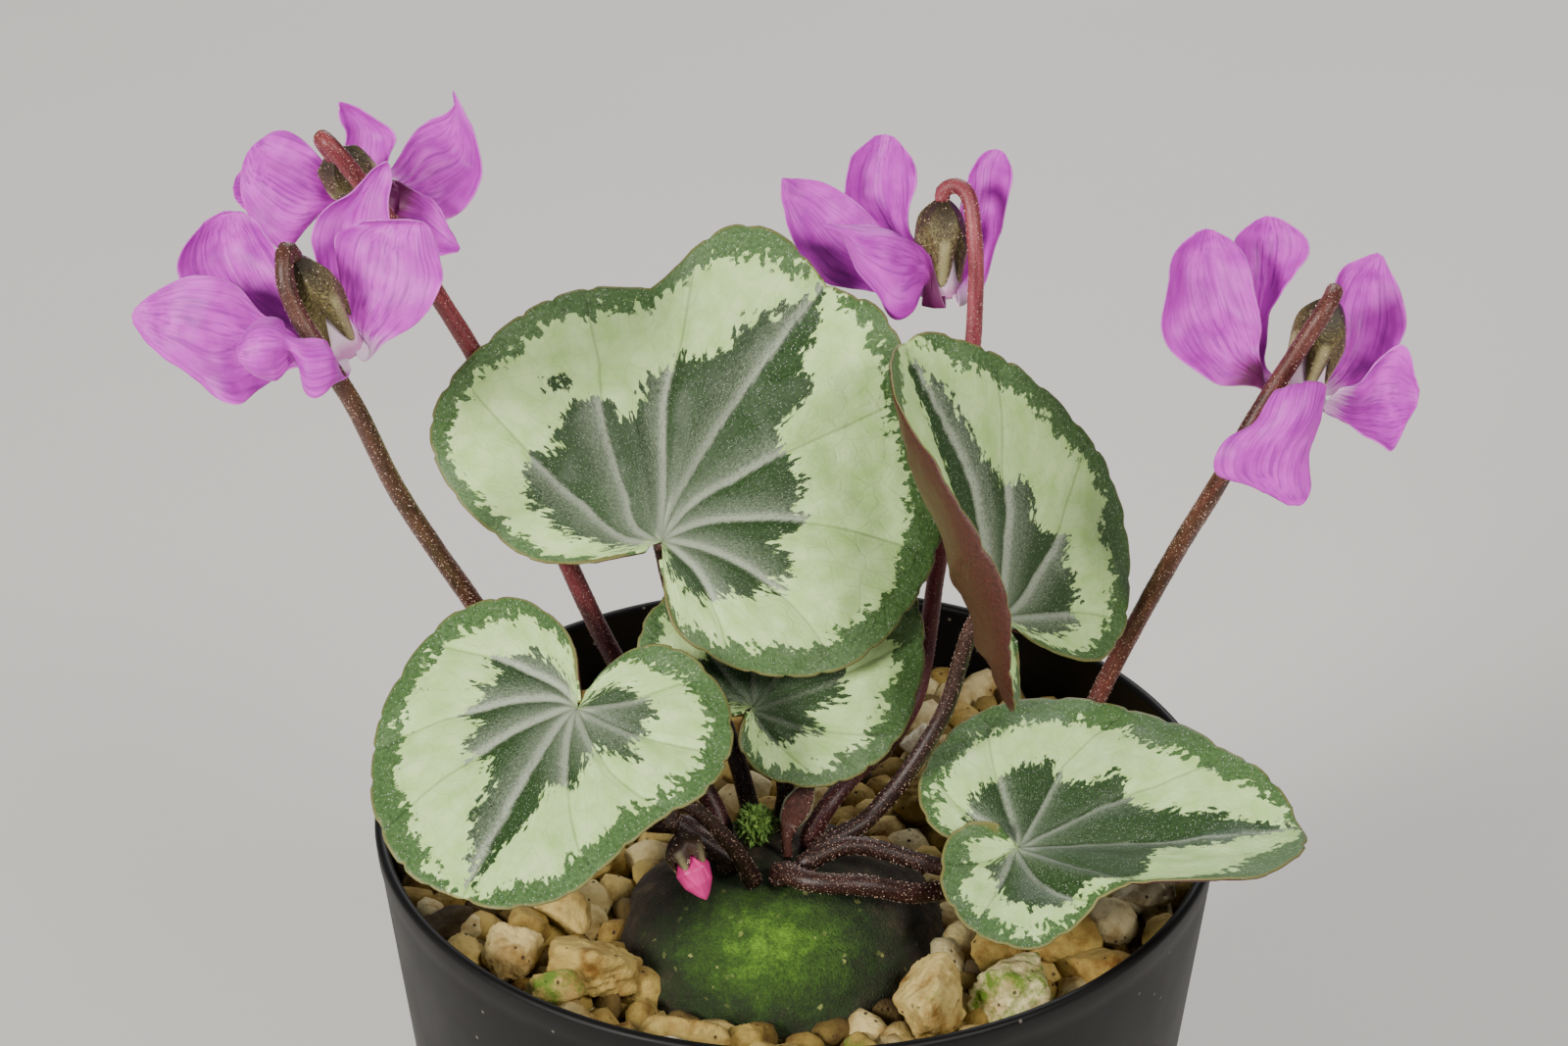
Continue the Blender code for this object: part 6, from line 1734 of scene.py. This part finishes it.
PETAL_MAGENTA = make_petal_finish()
SEPAL_OLIVE = make_sepal_finish("olive_sepal", ("#2b1e10", "#574a2a", "#87834f"))
THROAT_WHITE = make_throat_finish()
PEDICEL_FINISHES = {
    "flower_1": make_stalk_finish("flower_stem_brown", "#2e1613", "#5c372b"),
    "flower_2": make_stalk_finish("flower_stem_red", "#4d1a20", "#85353c"),
    "flower_3": make_stalk_finish("flower_stem_rose", "#5e1f2a", "#984650"),
    "flower_4": make_stalk_finish("flower_stem_wine", "#351715", "#6a3831"),
}
for number, (flower_name, flower) in enumerate(FLOWERS.items()):
    mouth, hang, right, front = flower_frame(flower)
    top = mouth - hang * flower["length"]
    make_sepals(f"{flower_name}_sepals", f"{flower_name}_calyx", top, hang,
                0.88 * flower["length"], 2.8, number + 1, SEPAL_OLIVE)
    make_throat(f"{flower_name}_throat", f"{flower_name}_tube", top, hang,
                flower["length"], number)
    for i, petal in enumerate(flower["petals"]):
        make_petal(f"{flower_name}_petal_{i + 1}_blade", f"{flower_name}_petal_{i + 1}", flower,
                   petal, 5 * number + i)
    foot = crown_foot(*flower["foot"])
    route = [foot, foot + Vector((0.0, 0.0, 1.2)), *flower["way"],
             *(mouth + face_vector(*place) for place in flower["hook"]),
             top - hang * 0.6, top + hang * 0.5]
    thin = 0.92 if flower_name == "flower_3" else 1.0
    stem = make_stem(f"{flower_name}_stem", route, PEDICEL_RADIUS[0] * thin,
                     PEDICEL_RADIUS[1] * thin, PEDICEL_FINISHES[flower_name], number + 11)
    stands_for(stem, "pedicel", f"{flower_name}_pedicel")


# Bud: one flower still rolled up, hanging from a short bent stem in front of the tuber. Its
# five petals are wound round each other in a point, deep pink, under five small sepals.
BUD_TOP = Vector((-12.2, -22.0, 97.5))
BUD_TIP = Vector((-9.2, -25.4, 91.6))
BUD_RADIUS = 1.85


def make_bud_finish():
    """Rolled young petals: deep carmine pink in soft clouds, paler towards the tip, with a soft shine.
    """
    material, tree, shader = new_material("rolled_bud_pink", {"IOR": 1.4, "Roughness": 0.38})
    spot = add_node(tree, "Attribute", {"attribute_name": "spot"}).outputs["Vector"]
    parts = add_node(tree, "SeparateXYZ", {}, {0: spot})
    cloud = add_node(tree, "TexNoise", {"Scale": 2.0, "Detail": 3.0}, {"Vector": spot})
    tone = add_node(tree, "ValToRGB", {"stops": [(0.3, "#a3125c"), (0.7, "#d42a80")]},
                    {"Fac": cloud.outputs["Fac"]})
    # Painted light: the bud is paler towards its tip
    tip = add_node(tree, "MapRange", {"From Min": 0.3, "From Max": 0.95, "To Max": 0.5},
                   {"Value": parts.outputs["Y"]})
    lit = add_node(tree, "Mix", {"data_type": "RGBA", 7: linear("#e04a98")},
                   {0: tip.outputs[0], 6: tone.outputs["Color"]})
    tree.links.new(lit.outputs[2], shader.inputs["Base Color"])
    return material


def make_bud():
    hang = (BUD_TIP - BUD_TOP).normalized()
    length = (BUD_TIP - BUD_TOP).length
    heights = [1.1, 1.5, 2.5, 0.55 * length, 0.75 * length, 0.93 * length, length]
    radii = [0.0, 0.6, 1.15, BUD_RADIUS, 0.8 * BUD_RADIUS, 0.3 * BUD_RADIUS, 0.0]
    profile = []
    for h in np.linspace(1.1, length, 48):
        profile.append((float(np.interp(h, heights, radii)), float(h)))
    grid, marks = turned_about(
        BUD_TOP, hang, profile, 80,
        lambda turn, share: 0.94 + 0.10 * ((5 * turn / (2 * math.pi) + 1.4 * share) % 1.0))
    bud = add_skin("bud_rolled_petals", [row[::-1] for row in grid], make_bud_finish(),
                   {"spot": [row[::-1] for row in marks]})
    stands_for(bud, "bud", "bud_petals")
    make_sepals("bud_sepals", "bud_calyx", BUD_TOP, hang, 0.5 * length, 2.1, 9,
                make_sepal_finish("young_sepal_brown", ("#1d110c", "#3f281c", "#6b5138")))
    foot = crown_foot(-4.6, -17.4)
    route = [foot, foot + Vector((-0.3, -0.3, 1.2)), Vector((-6.8, -18.9, 94.0)),
             Vector((-9.8, -20.2, 98.6)), Vector((-12.1, -20.9, 100.3)),
             BUD_TOP - hang * 1.3, BUD_TOP - hang * PEDICEL_CLEAR]
    stem = make_stem("bud_stem_hook", route, 0.9, 0.75, STALK_BROWN, 21)
    stands_for(stem, "stalk", "bud_stem")


make_bud()


# Young leaf: a tiny leaf still folded along its midrib, just pushed up from the crown. Its
# brown underside shows outside, with a thin silver edge, on a short stalk of its own.
YOUNG_FOOT = (-1.0, -13.2)
YOUNG_WAY = [(-1.1, -12.6, 90.6), (-0.6, -11.8, 92.4), (0.4, -11.0, 94.2), (1.6, -10.3, 95.9)]
YOUNG_SECTIONS = ((0.5, 0.5), (0.5, 0.5), (0.7, 0.55), (1.3, 0.6), (1.6, 0.7), (1.2, 0.6),
                  (0.3, 0.3))


def make_young_finish():
    """A very young blade from below: brown purple skin with a silver-green edge."""
    material, tree, shader = new_material("young_leaf_brown", {"IOR": 1.42, "Roughness": 0.45})
    spot = add_node(tree, "Attribute", {"attribute_name": "spot"}).outputs["Vector"]
    parts = add_node(tree, "SeparateXYZ", {}, {0: spot})
    cloud = add_node(tree, "TexNoise", {"Scale": 2.6, "Detail": 4.0}, {"Vector": spot})
    tone = add_node(tree, "ValToRGB", {"stops": [(0.3, "#3a201c"), (0.7, "#6b4238")]},
                    {"Fac": cloud.outputs["Fac"]})
    edge = add_node(tree, "MapRange", {"From Min": 0.84, "From Max": 0.97, "To Max": 0.8},
                    {"Value": parts.outputs["Z"]})
    edged = add_node(tree, "Mix", {"data_type": "RGBA", 7: linear("#9fb08a")},
                     {0: edge.outputs[0], 6: tone.outputs["Color"]})
    bump = add_node(tree, "Bump", {"Strength": 0.4, "Distance": 0.0001},
                    {"Height": cloud.outputs["Fac"]})
    tree.links.new(edged.outputs[2], shader.inputs["Base Color"])
    tree.links.new(bump.outputs["Normal"], shader.inputs["Normal"])
    return material


def make_young_leaf():
    columns, rings = 36, 60
    route = [crown_foot(*YOUNG_FOOT), *YOUNG_WAY]
    path = smooth_path(route, rings + 1)
    places = np.linspace(0, 1, len(YOUNG_SECTIONS))
    grid, marks = [], []
    for i in range(rings + 1):
        share = i / rings
        wide = float(np.interp(share, places, [w for w, _ in YOUNG_SECTIONS]))
        deep = float(np.interp(share, places, [d for _, d in YOUNG_SECTIONS]))
        ahead = (path[min(i + 1, rings)] - path[max(i - 1, 0)]).normalized()
        across = (Vector((1.0, 0.0, 0.0)) - ahead * ahead.x).normalized()
        over = ahead.cross(across)
        scales = [0.0, 1.0] if i == 0 else [1.0, 0.0] if i == rings else [1.0]
        for scale in scales:
            row, marked = [], []
            for column in range(columns):
                turn = 2 * math.pi * column / columns
                fold = 1.0 - 0.3 * math.exp(-((math.sin(turn) + 1) / 0.3) ** 2) * (wide > 1.0)
                row.append(path[i] + across * (wide * scale * math.cos(turn))
                           + over * (deep * scale * fold * math.sin(turn)))
                marked.append((math.cos(turn) * 2, share * 8,
                               abs(math.cos(turn)) * (1.0 if share > 0.4 else 0.0)))
            grid.append(row)
            marks.append(marked)
    young = add_skin("leaf_young_blade", grid, make_young_finish(), {"spot": marks})
    stand_out(young, 1.5, 0.07, 0.07, 0.0, 31, GLAND_HAIRS)
    stands_for(young, "stalk", "leaf_young")


make_young_leaf()


# Floor, light and camera: a plain pale table, a large soft light high on the left in front,
# a weaker one on the right and one behind, and a long lens looking down into the pot.

def make_floor():
    """Matt off-white board, with only the faintest unevenness."""
    material, tree, shader = new_material("matt_pale_board", {"Roughness": 0.75})
    place = add_node(tree, "TexCoord").outputs["Object"]
    cloud = add_node(tree, "TexNoise", {"Scale": 6.0, "Detail": 3.0}, {"Vector": place})
    tone = add_node(tree, "ValToRGB", {"stops": [(0.3, "#d9d7d3"), (0.7, "#dedcd8")]},
                    {"Fac": cloud.outputs["Fac"]})
    tree.links.new(tone.outputs["Color"], shader.inputs["Base Color"])
    reach = 2500.0
    floor = add_piece("floor", [(-reach, -reach, 0), (reach, -reach, 0), (reach, reach, 0),
                                (-reach, reach, 0)], [(0, 1, 2, 3)], material)


def add_light(name, place, target, width, power, colour):
    light = bpy.data.lights.new(name, "AREA")
    light.shape = "DISK"
    light.size = width
    light.energy = power
    light.color = linear(colour)[:3]
    item = bpy.data.objects.new(name, light)
    item.location = place
    item.rotation_euler = (Vector(target) - Vector(place)).to_track_quat("-Z", "Y").to_euler()
    bpy.context.scene.collection.objects.link(item)


make_floor()
MIDDLE = (0.0, 0.0, 0.11)
add_light("left front", (-0.52, -0.50, 0.48), MIDDLE, 0.24, 8.6, "#fffaf2")
add_light("right front", (0.42, -0.50, 0.62), MIDDLE, 0.26, 4.8, "#fff8f0")
add_light("back", (0.10, 0.60, 0.55), MIDDLE, 0.4, 2.2, "#ffffff")
world = bpy.data.worlds.new("pale studio")
world.use_nodes = True
world.node_tree.nodes["Background"].inputs["Color"].default_value = linear("#eef0f2")
world.node_tree.nodes["Background"].inputs["Strength"].default_value = 0.32
bpy.context.scene.world = world

camera = bpy.data.cameras.new("camera")
camera.lens = 100.0
camera.sensor_width = 36.0
camera.clip_start = 0.01
camera_item = bpy.data.objects.new("camera", camera)
camera_item.location = (-0.00137, -0.3892, 0.3437)
camera_item.rotation_euler = (math.radians(90.0 - 29.77), 0.0, 0.0)
bpy.context.scene.collection.objects.link(camera_item)
bpy.context.scene.camera = camera_item
